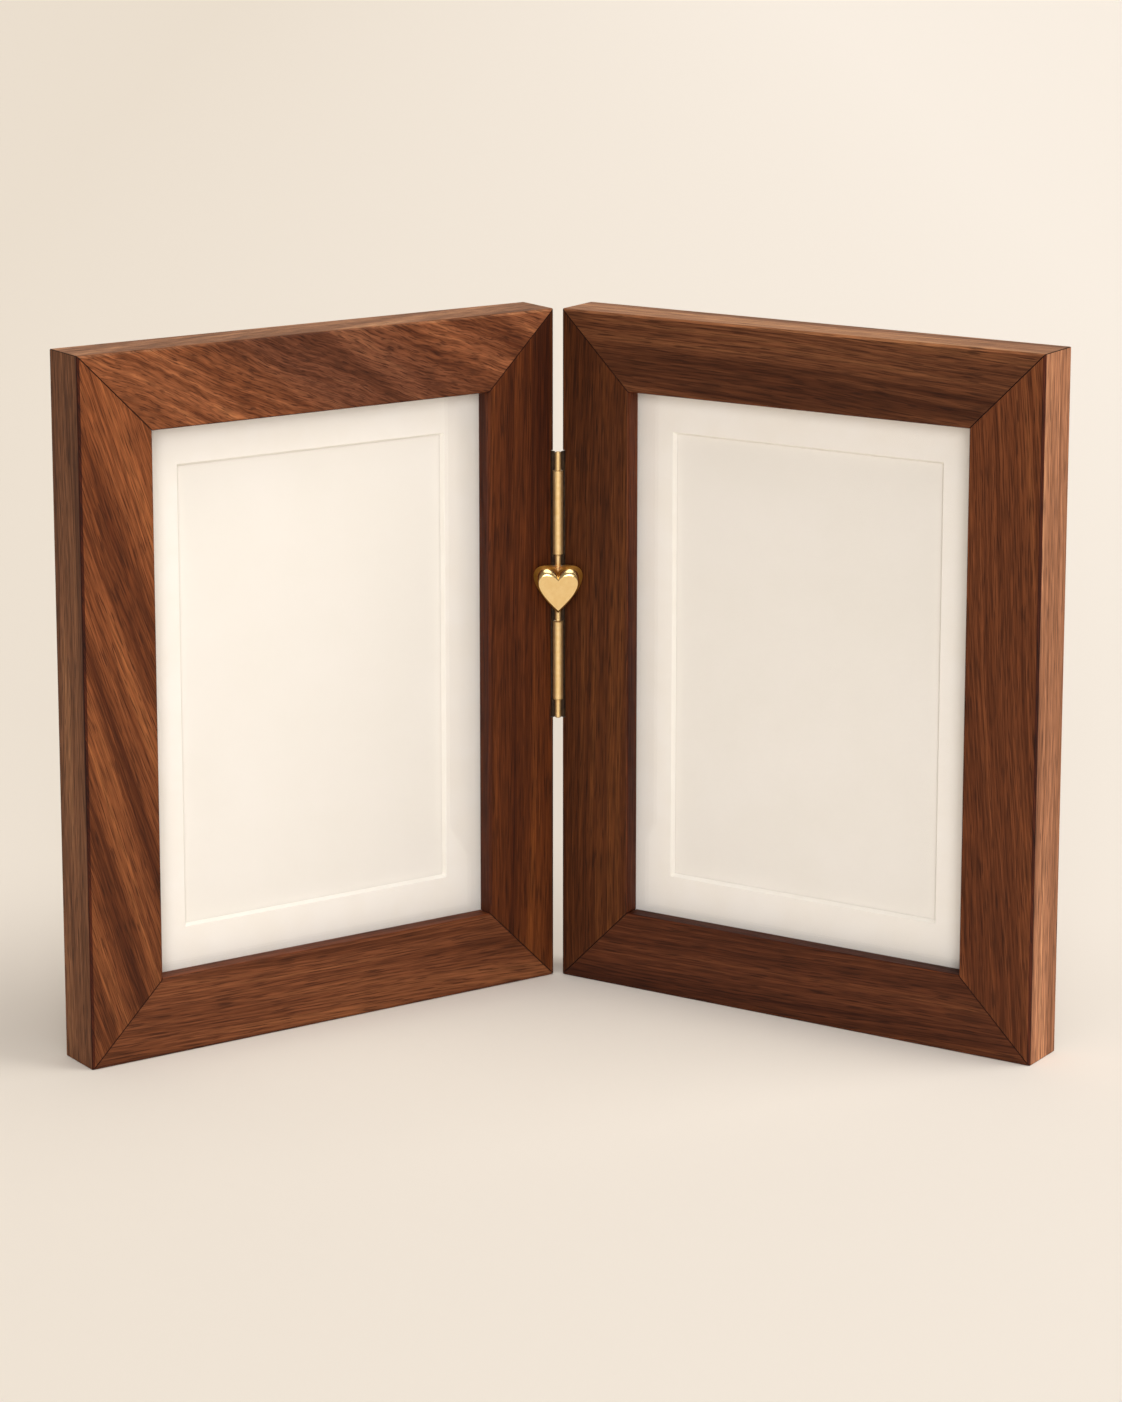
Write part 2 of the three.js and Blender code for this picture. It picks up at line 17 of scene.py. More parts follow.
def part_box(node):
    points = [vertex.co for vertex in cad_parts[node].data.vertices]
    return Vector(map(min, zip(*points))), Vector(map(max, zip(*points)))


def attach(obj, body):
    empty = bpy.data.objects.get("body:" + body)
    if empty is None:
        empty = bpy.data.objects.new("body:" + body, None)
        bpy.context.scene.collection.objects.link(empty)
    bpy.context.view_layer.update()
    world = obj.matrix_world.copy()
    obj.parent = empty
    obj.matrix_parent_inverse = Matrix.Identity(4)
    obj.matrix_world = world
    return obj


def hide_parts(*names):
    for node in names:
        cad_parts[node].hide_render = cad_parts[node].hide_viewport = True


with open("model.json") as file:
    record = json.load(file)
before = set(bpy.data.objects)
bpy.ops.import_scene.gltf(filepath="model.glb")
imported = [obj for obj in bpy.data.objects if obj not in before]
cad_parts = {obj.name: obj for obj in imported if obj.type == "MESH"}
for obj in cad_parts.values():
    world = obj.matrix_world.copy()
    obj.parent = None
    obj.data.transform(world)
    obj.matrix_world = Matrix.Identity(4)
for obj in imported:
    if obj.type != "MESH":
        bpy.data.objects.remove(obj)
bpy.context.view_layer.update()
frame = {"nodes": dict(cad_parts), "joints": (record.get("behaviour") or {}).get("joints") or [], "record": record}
joints = {joint["name"]: joint for joint in frame["joints"]}
scene = bpy.context.scene

# %% [markdown]
# ## One place for both frames
# The right frame is the left one in a mirror, so each part is modelled once in a frame's own axes: the
# hinge axis is Z, the width runs along +X and the back is +Y. A matrix then carries it to its side. The
# hinge's place comes from the fold joint, and the turn from the axis of a turn button, which points
# straight out of the frame's back.

# %% Own axes of a frame
MM = 0.001

hinge_point = Vector(joints["frame_fold"]["pos_m"])
hinge_foot = Vector((hinge_point.x, hinge_point.y, 0))
back_way = joints["right_button_top_turn"]["axis"]
frame_turn = math.atan2(back_way[0], back_way[1])
mirror = Matrix.Scale(-1, 4, (1, 0, 0))
PLACES = {
    "left": Matrix.Translation(hinge_foot) @ Matrix.Rotation(frame_turn, 4, "Z") @ mirror,
    "right": Matrix.Translation(hinge_foot) @ Matrix.Rotation(-frame_turn, 4, "Z"),
}
print("each frame turns", round(math.degrees(frame_turn), 2), "degrees out of flat")


def own_box(part):
    """Lowest and highest corner of a part of the right frame, in that frame's own axes."""
    into = PLACES["right"].inverted()
    points = [into @ vertex.co for vertex in frame["nodes"]["right_" + part].data.vertices]
    low = Vector([min(point[i] for point in points) for i in range(3)])
    high = Vector([max(point[i] for point in points) for i in range(3)])
    return low, high


# %% Sizes of a frame
hinge_stile_low, hinge_stile_high = own_box("hinge_stile")
pane_low, pane_high = own_box("glazing")
frame_low = hinge_stile_low.copy()
frame_high = own_box("outer_stile")[1]
# Room that the CAD model leaves at a mitre, between two layers and around a sheet
MITRE_GAP = 0.3 * MM
LAYER_GAP = 0.2 * MM
SHEET_PLAY = 0.6 * MM
MITRE_SLACK = MITRE_GAP / math.sqrt(2)
frame_low.z -= MITRE_SLACK
frame_high.z += MITRE_SLACK
frame_middle = (frame_low + frame_high) / 2
FRAME_W, RAIL_DEPTH, FRAME_H = frame_high - frame_low
RAIL_FACE = hinge_stile_high.x - hinge_stile_low.x
LIP_DEPTH = pane_low.y - frame_low.y - LAYER_GAP
REBATE = RAIL_FACE - (pane_low.x - frame_low.x) + SHEET_PLAY
frame_sizes = (FRAME_W, RAIL_DEPTH, FRAME_H, RAIL_FACE, LIP_DEPTH, REBATE)
print("frame in mm:", [round(size / MM, 2) for size in frame_sizes])

# %% [markdown]
# ## The camera
# The photograph was taken from about a metre and a quarter away with a long lens, from somewhat above the
# object and looking down at it. Its upright lines hardly lean, which a tilted camera can't give, so part of
# the tilt is a lens shift.

# %% Camera
# The picture's height, the focal length and the lens shift are in pixels, the angles in degrees
IMAGE_H = 1402
FOCAL_PIXELS = 4088.3
SHIFT_PIXELS = -210
CAMERA_PLACE = Vector((-16.4, -1254.0, 415.4)) * MM
CAMERA_PITCH = 11.06
CAMERA_YAW = 0.77
SENSOR = 36.0
FARTHEST = 50.0

camera_data = bpy.data.cameras.new("camera")
camera_data.sensor_width = SENSOR
camera_data.lens = FOCAL_PIXELS / IMAGE_H * SENSOR
camera_data.shift_y = SHIFT_PIXELS / IMAGE_H
camera_data.clip_end = FARTHEST
camera = bpy.data.objects.new("camera", camera_data)
camera.location = CAMERA_PLACE
camera.rotation_euler = (math.radians(90 - CAMERA_PITCH), 0, math.radians(-CAMERA_YAW))
scene.collection.objects.link(camera)
scene.camera = camera
print("lens", round(camera_data.lens, 1), "mm, shift", round(camera_data.shift_y, 3))

# %% [markdown]
# ## Helpers for materials
# Colours are written as the hex values that a colour picker shows, and Blender's shaders work in linear
# light, so one function turns the one into the other. A second small function adds a node: an input that
# is given another node's output is linked, and any other value is set on the input itself.

# %% Colour and node helpers


def linear(code):
    """A hex colour as linear red, green, blue and an alpha of 1."""
    parts = [int(code[i : i + 2], 16) / 255 for i in (1, 3, 5)]
    light = [part / 12.92 if part <= 0.04045 else ((part + 0.055) / 1.055) ** 2.4 for part in parts]
    return (*light, 1.0)


def new_material(name):
    """A material that uses nodes, with the ones it starts with cleared away."""
    material = bpy.data.materials.new(name)
    material.use_nodes = True
    material.node_tree.nodes.clear()
    return material


def add(tree, kind, settings, inputs):
    """Adds a node with its settings, and links or sets its inputs."""
    made = tree.nodes.new("ShaderNode" + kind)
    for name, value in settings.items():
        if name == "stops":
            ramp = made.color_ramp
            while len(ramp.elements) < len(value):
                ramp.elements.new(0.5)
            for element, (position, code) in zip(ramp.elements, value):
                element.position = position
                element.color = linear(code)
        else:
            setattr(made, name, value)
    for name, value in inputs.items():
        if isinstance(value, bpy.types.NodeSocket):
            tree.links.new(value, made.inputs[name])
        else:
            made.inputs[name].default_value = value
    return made


print("middle grey in linear light:", round(linear("#808080")[0], 3))

# %% [markdown]
# ## Floor and light
# The set is a plain cream sheet in a soft, warm room that is brighter behind the object than in front of
# it, so wood that is seen at a shallow angle mirrors the bright side and its front faces stay deep. A lamp
# that shines from where the camera stands lights both fronts, so the lips throw no shadow that it sees on
# the mats. One overhead lights the upper edges, and one high on the right makes the left frame and the
# right edge brighter and throws the soft shadow to the left. All are suns, which give the same light all
# over the floor, so the cream stays even up to the top of the picture. The sheet's colour is painted a
# little lighter towards the right, as painted light that is brighter on that side.

# %% Floor
# Half the floor's width and half the width over which its painted light changes, in metres
FLOOR_HALF = 9.0
FADE_HALF = 0.4
# Painted light: the sheet's colour is lighter towards the right, as if more light fell there
FLOOR_PAINTED_LIGHT_TONES = [(0.0, "#EAE2D7"), (1.0, "#F9F3EC")]
PAPER_ROUGH, PAPER_SHEEN = 0.95, 0.1

bm = bmesh.new()
bmesh.ops.create_grid(bm, x_segments=1, y_segments=1, size=FLOOR_HALF)
floor_mesh = bpy.data.meshes.new("floor")
bm.to_mesh(floor_mesh)
bm.free()
floor = bpy.data.objects.new("floor", floor_mesh)
scene.collection.objects.link(floor)

paper_sheet = new_material("matt_cream_background_paper")
tree = paper_sheet.node_tree
where = add(tree, "TexCoord", {}, {}).outputs["Object"]
split = add(tree, "SeparateXYZ", {}, {0: where})
reach = {"From Min": -FADE_HALF, "From Max": FADE_HALF}
fade = add(tree, "MapRange", {}, {"Value": split.outputs["X"], **reach})
tone = add(tree, "ValToRGB", {"stops": FLOOR_PAINTED_LIGHT_TONES}, {"Fac": fade.outputs[0]})
matt = {"Roughness": PAPER_ROUGH, "Specular IOR Level": PAPER_SHEEN}
shader = add(tree, "BsdfPrincipled", {}, {"Base Color": tone.outputs["Color"], **matt})
add(tree, "OutputMaterial", {}, {"Surface": shader.outputs["BSDF"]})
floor_mesh.materials.append(paper_sheet)
print("floor in m:", 2 * FLOOR_HALF, "square")

# %% Light
ROOM_FRONT = 0.24
ROOM_BACK = 0.90
BACK_STARTS = 0.2
ROOM_COLOUR = "#FFF3E4"
# Strength, the way it comes from, width in degrees and colour
LAMPS = {
    "side_lamp": (1.40, (0.75, -0.05, 0.62), 45, "#FFFBF4"),
    "overhead_lamp": (0.86, (0.05, -0.30, 0.95), 40, "#FFFFFF"),
    "front_lamp": (1.40, (0.00, -1.00, 0.30), 28, "#FFFFFF"),
}

world = bpy.data.worlds.new("cream_room")
world.use_nodes = True
tree = world.node_tree
tree.nodes.clear()
way = add(tree, "TexCoord", {}, {}).outputs["Generated"]
split = add(tree, "SeparateXYZ", {}, {0: way})
levels = {"From Min": BACK_STARTS, "From Max": 1.0, "To Min": ROOM_FRONT, "To Max": ROOM_BACK}
level = add(tree, "MapRange", {}, {"Value": split.outputs["Y"], **levels})
room = add(tree, "Background", {}, {"Color": linear(ROOM_COLOUR), "Strength": level.outputs[0]})
add(tree, "OutputWorld", {}, {"Surface": room.outputs[0]})
scene.world = world

for name, (strength, source, width, colour) in LAMPS.items():
    sun = bpy.data.lights.new(name, "SUN")
    sun.energy = strength
    sun.angle = math.radians(width)
    sun.color = linear(colour)[:3]
    lamp = bpy.data.objects.new(name, sun)
    lamp.rotation_euler = Vector(source).to_track_quat("Z", "Y").to_euler()
    scene.collection.objects.link(lamp)
scene.view_settings.view_transform = "Standard"
print("room", ROOM_FRONT, "to", ROOM_BACK, "and lamps:", ", ".join(LAMPS))

# %% [markdown]
# ## Helpers for meshes
# Every part below is a bmesh in a frame's own axes. One function cuts or joins closed shapes with the
# exact Boolean, welds the corners that this leaves double and fills the small holes that it leaves open.

# %% Mesh helpers
BODY_OF = {node: body for body, nodes in frame["record"]["behaviour"]["bodies"].items() for node in nodes}
# Edges that turn by more than this stay crisp in the shading
SHARP_ANGLE = math.radians(38)
# Edges that turn by more than this many degrees are bevelled
SHARP_FROM = 30
# Corners closer than this become one, holes with up to so many sides are filled, and faces with more
# corners are split
WELD = 0.0005 * MM
HOLE_SIDES = 4
MOST_CORNERS = 4


def as_object(bm, name):
    """Moves a bmesh into a new object in the scene."""
    mesh = bpy.data.meshes.new(name)
    bm.to_mesh(mesh)
    bm.free()
    made = bpy.data.objects.new(name, mesh)
    scene.collection.objects.link(made)
    return made


def only(kind, parts):
    """The vertices, edges or faces among the parts that an operator returns."""
    return [part for part in parts if isinstance(part, kind)]


def open_edges(bm):
    """Edges with a face on one side only."""
    return [edge for edge in bm.edges if edge.is_boundary]


def combine(bm, others, operation):
    """Cuts other closed shapes out of a mesh (DIFFERENCE) or joins them to it (UNION)."""
    blank = as_object(bm, "blank")
    tools = [as_object(other, "tool") for other in others]
    for tool in tools:
        boolean = blank.modifiers.new("combine", "BOOLEAN")
        boolean.operation = operation
        boolean.solver = "EXACT"
        boolean.object = tool
    ready = blank.evaluated_get(bpy.context.evaluated_depsgraph_get())
    result = bmesh.new()
    result.from_mesh(ready.to_mesh())
    for used in (blank, *tools):
        mesh = used.data
        bpy.data.objects.remove(used)
        bpy.data.meshes.remove(mesh)
    bmesh.ops.remove_doubles(result, verts=result.verts, dist=WELD)
    bmesh.ops.holes_fill(result, edges=open_edges(result), sides=HOLE_SIDES)
    return result


def soften(bm, edges, width, segments):
    """Rounds edges over, with a circular section."""
    bmesh.ops.bevel(
        bm,
        geom=edges,
        offset=width,
        offset_type="OFFSET",
        segments=segments,
        profile=0.5,
        affect="EDGES",
        clamp_overlap=True,
        material=-1,
    )


def sharp_edges(bm, least=SHARP_FROM):
    """Edges where two faces meet at more than some degrees."""
    closed = [edge for edge in bm.edges if len(edge.link_faces) == 2]
    return [edge for edge in closed if edge.calc_face_angle() > math.radians(least)]


def grow(bm, face, step):
    """Extrudes a face by a step and returns the new face."""
    new = bmesh.ops.extrude_face_region(bm, geom=[face])["geom"]
    bmesh.ops.translate(bm, vec=step, verts=only(bmesh.types.BMVert, new))
    return only(bmesh.types.BMFace, new)[0]


def prism(points, step):
    """A closed straight solid from a flat outline."""
    bm = bmesh.new()
    grow(bm, bm.faces.new([bm.verts.new(point) for point in points]), step)
    bmesh.ops.recalc_face_normals(bm, faces=bm.faces)
    return bm


def block(low, high):
    """A closed box between two corners."""
    corners = [(low.x, low.y), (high.x, low.y), (high.x, high.y), (low.x, high.y)]
    return prism([(x, y, low.z) for x, y in corners], (0, 0, high.z - low.z))


def turned(profile, steps):
    """A solid of revolution about Z from (radius, height) points that start and end on the axis."""
    bm = bmesh.new()
    verts = [bm.verts.new((radius, 0, height)) for radius, height in profile]
    edges = [bm.edges.new(pair) for pair in zip(verts, verts[1:])]
    bmesh.ops.spin(
        bm,
        geom=verts + edges,
        axis=(0, 0, 1),
        cent=(0, 0, 0),
        angle=math.tau,
        steps=steps,
        use_merge=True,
    )
    bmesh.ops.remove_doubles(bm, verts=bm.verts, dist=WELD)
    bmesh.ops.recalc_face_normals(bm, faces=bm.faces)
    return bm


def make_piece(bm, node, place, slot, *materials, sharp=SHARP_ANGLE, flat_sided=True):
    """The finished object for a CAD node, at the origin with its place in its mesh."""
    bm.transform(place)
    bmesh.ops.dissolve_degenerate(bm, dist=WELD, edges=bm.edges)
    many_sided = [face for face in bm.faces if len(face.verts) > MOST_CORNERS]
    bmesh.ops.triangulate(bm, faces=many_sided)
    bmesh.ops.recalc_face_normals(bm, faces=bm.faces)
    if bm.calc_volume(signed=True) < 0:
        bmesh.ops.reverse_faces(bm, faces=bm.faces)
    piece = as_object(bm, node + "_finished")
    for material in materials:
        piece.data.materials.append(material)
    piece.data.shade_smooth()
    piece.data.set_sharp_from_angle(angle=sharp)
    if flat_sided:
        even = piece.modifiers.new("even_normals", "WEIGHTED_NORMAL")
        even.keep_sharp = True
    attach(piece, BODY_OF[node])
    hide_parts(node)
    return piece


# %% [markdown]
# ## Walnut
# Black walnut is a brown hardwood with open pores. Sanded and oiled it has a satin sheen that shows only
# at a shallow angle, so its specular level is low. The eye reads four scales of pattern: zones of redder
# and greyer brown as wide as a finger, streaks, fine fibres, and pores, which are short dark dashes along
# the grain. Each is a noise stretched along the grain. Its coordinates come from the mesh: an attribute
# holds each face corner's place along, across and into its own rail, so every rail has its own grain. Two
# more attributes hold how curly the board is and a tint there, which is the board's own colour on the
# fronts and also carries painted sheen, painted highlights and painted shade on the edges, arrises and lip.

# %% Walnut
# Length along the grain, width across it, depth into it (all in mm), and detail. Real fibres and pores are
# about 0.2 mm wide, too fine for the render, so both are drawn about twice as wide.
WALNUT_LAYERS = {
    "zone": (110, 11, 14, 2.0),
    "streak": (60, 1.6, 4, 3.0),
    "fibre": (5.5, 0.5, 1.0, 3.0),
    "pore": (4.5, 0.45, 0.8, 1.0),
}
# The grain wanders sideways in long sweeps and, on a curly board, in short ripples: their sizes along,
# across and into the grain, and how far they reach to each side, all in mm
SWEEP, SWEEP_REACH = (85, 34, 34), 5.0
RIPPLE, RIPPLE_REACH = (9, 8, 16), 0.7
# On a curly board the zones cross the fibres at a slant
ZONE_SLANT = 0.3
# The brown of the zones and streaks from dark to light, before a rail's own tint darkens it
WALNUT_TONES = [(0.36, "#6F472F"), (0.46, "#94694C"), (0.54, "#AE8062"), (0.64, "#CFA17C")]
STREAK_SHARE = 0.40
# Fibres shade the brown and its roughness between these values, over the middle of their noise
FIBRE_SPREAD = {"From Min": 0.36, "From Max": 0.64}
FIBRE_SHADE = {"To Min": 0.68, "To Max": 1.32}
FIBRE_GLOSS = {"To Min": 0.62, "To Max": 0.52}
PORE_BROWN = "#4A2E20"
PORE_EDGES = {"From Min": 0.56, "From Max": 0.66, "To Max": 0.62}
RELIEF_STRENGTH, RELIEF_DEPTH = 0.35, 0.08 * MM
OIL_SHEEN = 0.15

walnut = new_material("oiled_satin_walnut")
tree = walnut.node_tree
grain = add(tree, "Attribute", {"attribute_name": "grain"}, {})
tint = add(tree, "Attribute", {"attribute_name": "tint"}, {})
figure = add(tree, "Attribute", {"attribute_name": "figure"}, {})

waves = []
for lengths in (SWEEP, RIPPLE):
    scale = [1 / value for value in lengths]
    stretch = add(tree, "Mapping", {}, {"Vector": grain.outputs["Vector"], "Scale": scale})
    wave = add(tree, "TexNoise", {}, {"Vector": stretch.outputs[0], "Scale": 1.0, "Detail": 1.0})
    waves.append(wave.outputs[0])
sweep = add(tree, "MapRange", {}, {"Value": waves[0], "To Min": -SWEEP_REACH, "To Max": SWEEP_REACH})
ripple = add(tree, "MapRange", {}, {"Value": waves[1], "To Min": -RIPPLE_REACH, "To Max": RIPPLE_REACH})
ripple = add(tree, "Math", {"operation": "MULTIPLY"}, {0: ripple.outputs[0], 1: figure.outputs["Fac"]})
drift = add(tree, "Math", {"operation": "ADD"}, {0: sweep.outputs[0], 1: ripple.outputs[0]})
drift = add(tree, "CombineXYZ", {}, {"Y": drift.outputs[0]})
bent = add(tree, "VectorMath", {"operation": "ADD"}, {0: grain.outputs["Vector"], 1: drift.outputs[0]})
split = add(tree, "SeparateXYZ", {}, {0: grain.outputs["Vector"]})
slant = add(tree, "Math", {"operation": "MULTIPLY"}, {0: split.outputs["X"], 1: figure.outputs["Fac"]})
slant = add(tree, "Math", {"operation": "MULTIPLY"}, {0: slant.outputs[0], 1: -ZONE_SLANT})
slant = add(tree, "CombineXYZ", {}, {"Y": slant.outputs[0]})
slanted = add(tree, "VectorMath", {"operation": "ADD"}, {0: bent.outputs[0], 1: slant.outputs[0]})

layer = {}
for name, (length, width, depth, detail) in WALNUT_LAYERS.items():
    course = slanted if name == "zone" else bent
    scale = (1 / length, 1 / width, 1 / depth)
    stretch = add(tree, "Mapping", {}, {"Vector": course.outputs[0], "Scale": scale})
    noise = add(tree, "TexNoise", {}, {"Vector": stretch.outputs[0], "Scale": 1.0, "Detail": detail})
    layer[name] = noise.outputs[0]

tone = add(tree, "Mix", {}, {0: STREAK_SHARE, 2: layer["zone"], 3: layer["streak"]})
wood = add(tree, "ValToRGB", {"stops": WALNUT_TONES}, {"Fac": tone.outputs[0]})
fibre = {"Value": layer["fibre"], **FIBRE_SPREAD}
shade = add(tree, "MapRange", {}, {**fibre, **FIBRE_SHADE})
wood = add(tree, "VectorMath", {"operation": "SCALE"}, {0: wood.outputs[0], "Scale": shade.outputs[0]})
dashes = {"Value": layer["pore"], **PORE_EDGES}
pore = add(tree, "MapRange", {"interpolation_type": "SMOOTHSTEP"}, dashes)
holes = {0: pore.outputs[0], 6: wood.outputs[0], 7: linear(PORE_BROWN)}
wood = add(tree, "Mix", {"data_type": "RGBA"}, holes)
# The tint is the board's own colour on the fronts, and on edges, arrises and the lip it paints sheen, highlights
# and shade
tinted = {0: wood.outputs[2], 1: tint.outputs["Vector"]}
wood = add(tree, "VectorMath", {"operation": "MULTIPLY"}, tinted)
gloss = add(tree, "MapRange", {}, {**fibre, **FIBRE_GLOSS})
relief = add(tree, "Math", {"operation": "SUBTRACT"}, {0: layer["fibre"], 1: pore.outputs[0]})
depth = {"Strength": RELIEF_STRENGTH, "Distance": RELIEF_DEPTH}
bump = add(tree, "Bump", {}, {"Height": relief.outputs[0], **depth})
oiled = {"Base Color": wood.outputs[0], "Roughness": gloss.outputs[0], "Normal": bump.outputs[0]}
shader = add(tree, "BsdfPrincipled", {}, {**oiled, "Specular IOR Level": OIL_SHEEN})
add(tree, "OutputMaterial", {}, {"Surface": shader.outputs["BSDF"]})
print("walnut layers:", ", ".join(WALNUT_LAYERS))

# %% [markdown]
# ## The rails
# A frame maker planes a moulding, eases its long edges, and saws it into four lengths at 45 degrees. The
# same order works here: a section is extruded, its long edges are bevelled, two planes cut the mitres,
# and a very fine bevel breaks the mitre's edge so that the joint reads as a thin line. Where a darker band
# crosses a rail, planes add edges for its tint to fade between. Slots for the V-nails and screw holes are
# then cut into the back, and the hinge stile gets the leaf's mortise.

# %% Rail shapes
EDGE_EASE = 0.8 * MM
EASE_STEPS = 5
MITRE_ARRIS = 0.11 * MM
ARRIS_STEPS = 2
# The mitres stand this far apart, less than in the CAD model, so that no light shows through them
MITRE_LINE = 0.12 * MM
SEAT_GAP = 0.3 * MM
OVERCUT = 1 * MM
HOLE_STEPS = 24
RAILS = {
    "bottom_rail": ("bottom", 0, FRAME_W, FRAME_H / 2),
    "outer_stile": ("outer", -math.pi / 2, FRAME_H, FRAME_W / 2),
    "top_rail": ("top", math.pi, FRAME_W, FRAME_H / 2),
    "hinge_stile": ("hinge", math.pi / 2, FRAME_H, FRAME_W / 2),
}
print("rail lengths in mm:", [round(length / MM, 1) for _, _, length, _ in RAILS.values()])


def rail_seat(turn, reach):
    """The place of a rail that is modelled along X, its outer face on z = 0 and its front on y = 0."""
    middle = Matrix.Translation((frame_middle.x, frame_low.y, frame_middle.z))
    return middle @ Matrix.Rotation(turn, 4, "Y") @ Matrix.Translation((0, 0, -reach))


def moulding(length):
    """A straight length of moulding with eased long edges."""
    section = [
        (0, 0),
        (0, RAIL_FACE),
        (LIP_DEPTH, RAIL_FACE),
        (LIP_DEPTH, RAIL_FACE - REBATE),
        (RAIL_DEPTH, RAIL_FACE - REBATE),
        (RAIL_DEPTH, 0),
    ]
    bm = prism([(-length / 2, y, z) for y, z in section], (length, 0, 0))
    # The two front edges and the outer edge at the back are eased
    eased = []
    for edge in bm.edges:
        first, second = (vert.co for vert in edge.verts)
        along = abs(first.x - second.x) > length / 2
        if along and (first.y == 0 or (first.z == 0 and first.y > LIP_DEPTH)):
            eased.append(edge)
    soften(bm, eased, EDGE_EASE, EASE_STEPS)
    return bm


def mitred_rail(length, lean, stations):
    """A moulding cut at 45 degrees at both ends, with edges across it where a slanting band fades."""
    bm = moulding(length)
    half = length / 2 - MITRE_LINE / math.sqrt(2)
    for end in (-1, 1):
        cut = bmesh.ops.bisect_plane(
            bm,
            geom=bm.verts[:] + bm.edges[:] + bm.faces[:],
            plane_co=(end * half, 0, 0),
            plane_no=(end, 0, 1),
            clear_outer=True,
        )
        rim = only(bmesh.types.BMEdge, cut["geom_cut"])
        bmesh.ops.contextual_create(bm, geom=rim)
        soften(bm, rim, MITRE_ARRIS, ARRIS_STEPS)
    for station in stations:
        whole = bm.verts[:] + bm.edges[:] + bm.faces[:]
        bmesh.ops.bisect_plane(bm, geom=whole, plane_co=(station * MM, 0, 0), plane_no=(1, 0, -lean))
    bmesh.ops.recalc_face_normals(bm, faces=bm.faces)
    return bm


# %% Cuts in the rails
nail_low, nail_high = own_box("v_nail_bottom_hinge")
leaf_low, leaf_high = own_box("hinge_leaf")
screw_low, screw_high = own_box("button_screw_bottom")
NAIL_T = 0.5 * MM
NAIL_INSET = nail_low.x - frame_low.x
NAIL_LEG = nail_high.x - nail_low.x
LEAF_T = 1 * MM
SCREW_R = 1.2 * MM
SCREW_HEAD_H = 1.5 * MM
BUTTON_IN = (screw_low.z + screw_high.z) / 2 - frame_low.z
CORNERS = {
    "bottom_hinge": (0, frame_low.x, frame_low.z),
    "bottom_outer": (-math.pi / 2, frame_high.x, frame_low.z),
    "top_outer": (math.pi, frame_high.x, frame_high.z),
    "top_hinge": (math.pi / 2, frame_low.x, frame_high.z),
}
print("V-nail legs in mm:", round(NAIL_LEG / MM, 2), "and screws in by", round(BUTTON_IN / MM, 2))


def corner_seat(turn, x, z):
    """The place of a corner whose inward directions are +X and +Z."""
    return Matrix.Translation((x, 0, z)) @ Matrix.Rotation(turn, 4, "Y")


def nail_strip(gap, front, back):
    """The V-nail's L-shaped strip between two depths, wider by a gap on every side."""
    near = NAIL_INSET - gap
    inner = NAIL_INSET + NAIL_T + gap
    far = NAIL_INSET + NAIL_LEG + gap
    outline = [(near, near), (far, near), (far, inner), (inner, inner), (inner, far), (near, far)]
    return prism([(x, front, z) for x, z in outline], (0, back - front, 0))


def moved(bm, matrix):
    """The same bmesh after a move."""
    bm.transform(matrix)
    return bm


def nail_slots():
    """One slot for each corner's V-nail, open at the back."""
    front = nail_low.y - SEAT_GAP
    back = frame_high.y + OVERCUT
    return [moved(nail_strip(SEAT_GAP, front, back), corner_seat(*place)) for place in CORNERS.values()]


def pilot_hole():
    """The hole of a turn button's screw, in a rail's own place."""
    bm = bmesh.new()
    radius = SCREW_R + SEAT_GAP
    depth = screw_high.y - screw_low.y
    bmesh.ops.create_cone(
        bm, segments=HOLE_STEPS, radius1=radius, radius2=radius, depth=depth, cap_ends=True
    )
    bm.transform(Matrix.Rotation(math.pi / 2, 4, "X"))
    middle = (screw_low.y + screw_high.y) / 2 - SEAT_GAP - frame_low.y
    bm.transform(Matrix.Translation((0, middle, BUTTON_IN)))
    return bm


def leaf_mortise():
    """The shallow seat of the hinge leaf, open towards the hinge and the front."""
    low = Vector((frame_low.x - OVERCUT, frame_low.y - OVERCUT, leaf_low.z - SEAT_GAP))
    high = Vector((frame_low.x + LEAF_T + SEAT_GAP, leaf_high.y + SEAT_GAP, leaf_high.z + SEAT_GAP))
    return block(low, high)


# %% [markdown]
# ## Grain of each rail
# The rails come from different places in the boards. On the left frame the stile's grain runs slantwise
# and the top rail is curly, with a darker band across it, while the other rails are cut along the grain.
# The right frame's tints are darker. Each rail gets a slope of its grain on the front, a bend along its
# length, an amount of curl, its tints, and a place in the log. Most outer edges are paler: their tint
# paints the sheen of the bright room onto the wood, and they keep straight grain, as they do where the
# front is a figured veneer. The eased front arris is painted lighter on the top rails, as a painted
# highlight, and darker on the others, as painted shade. The lip around the window is darker as painted
# shade, and the sawn mitres are darker. On a board without curl the fibres are longer.

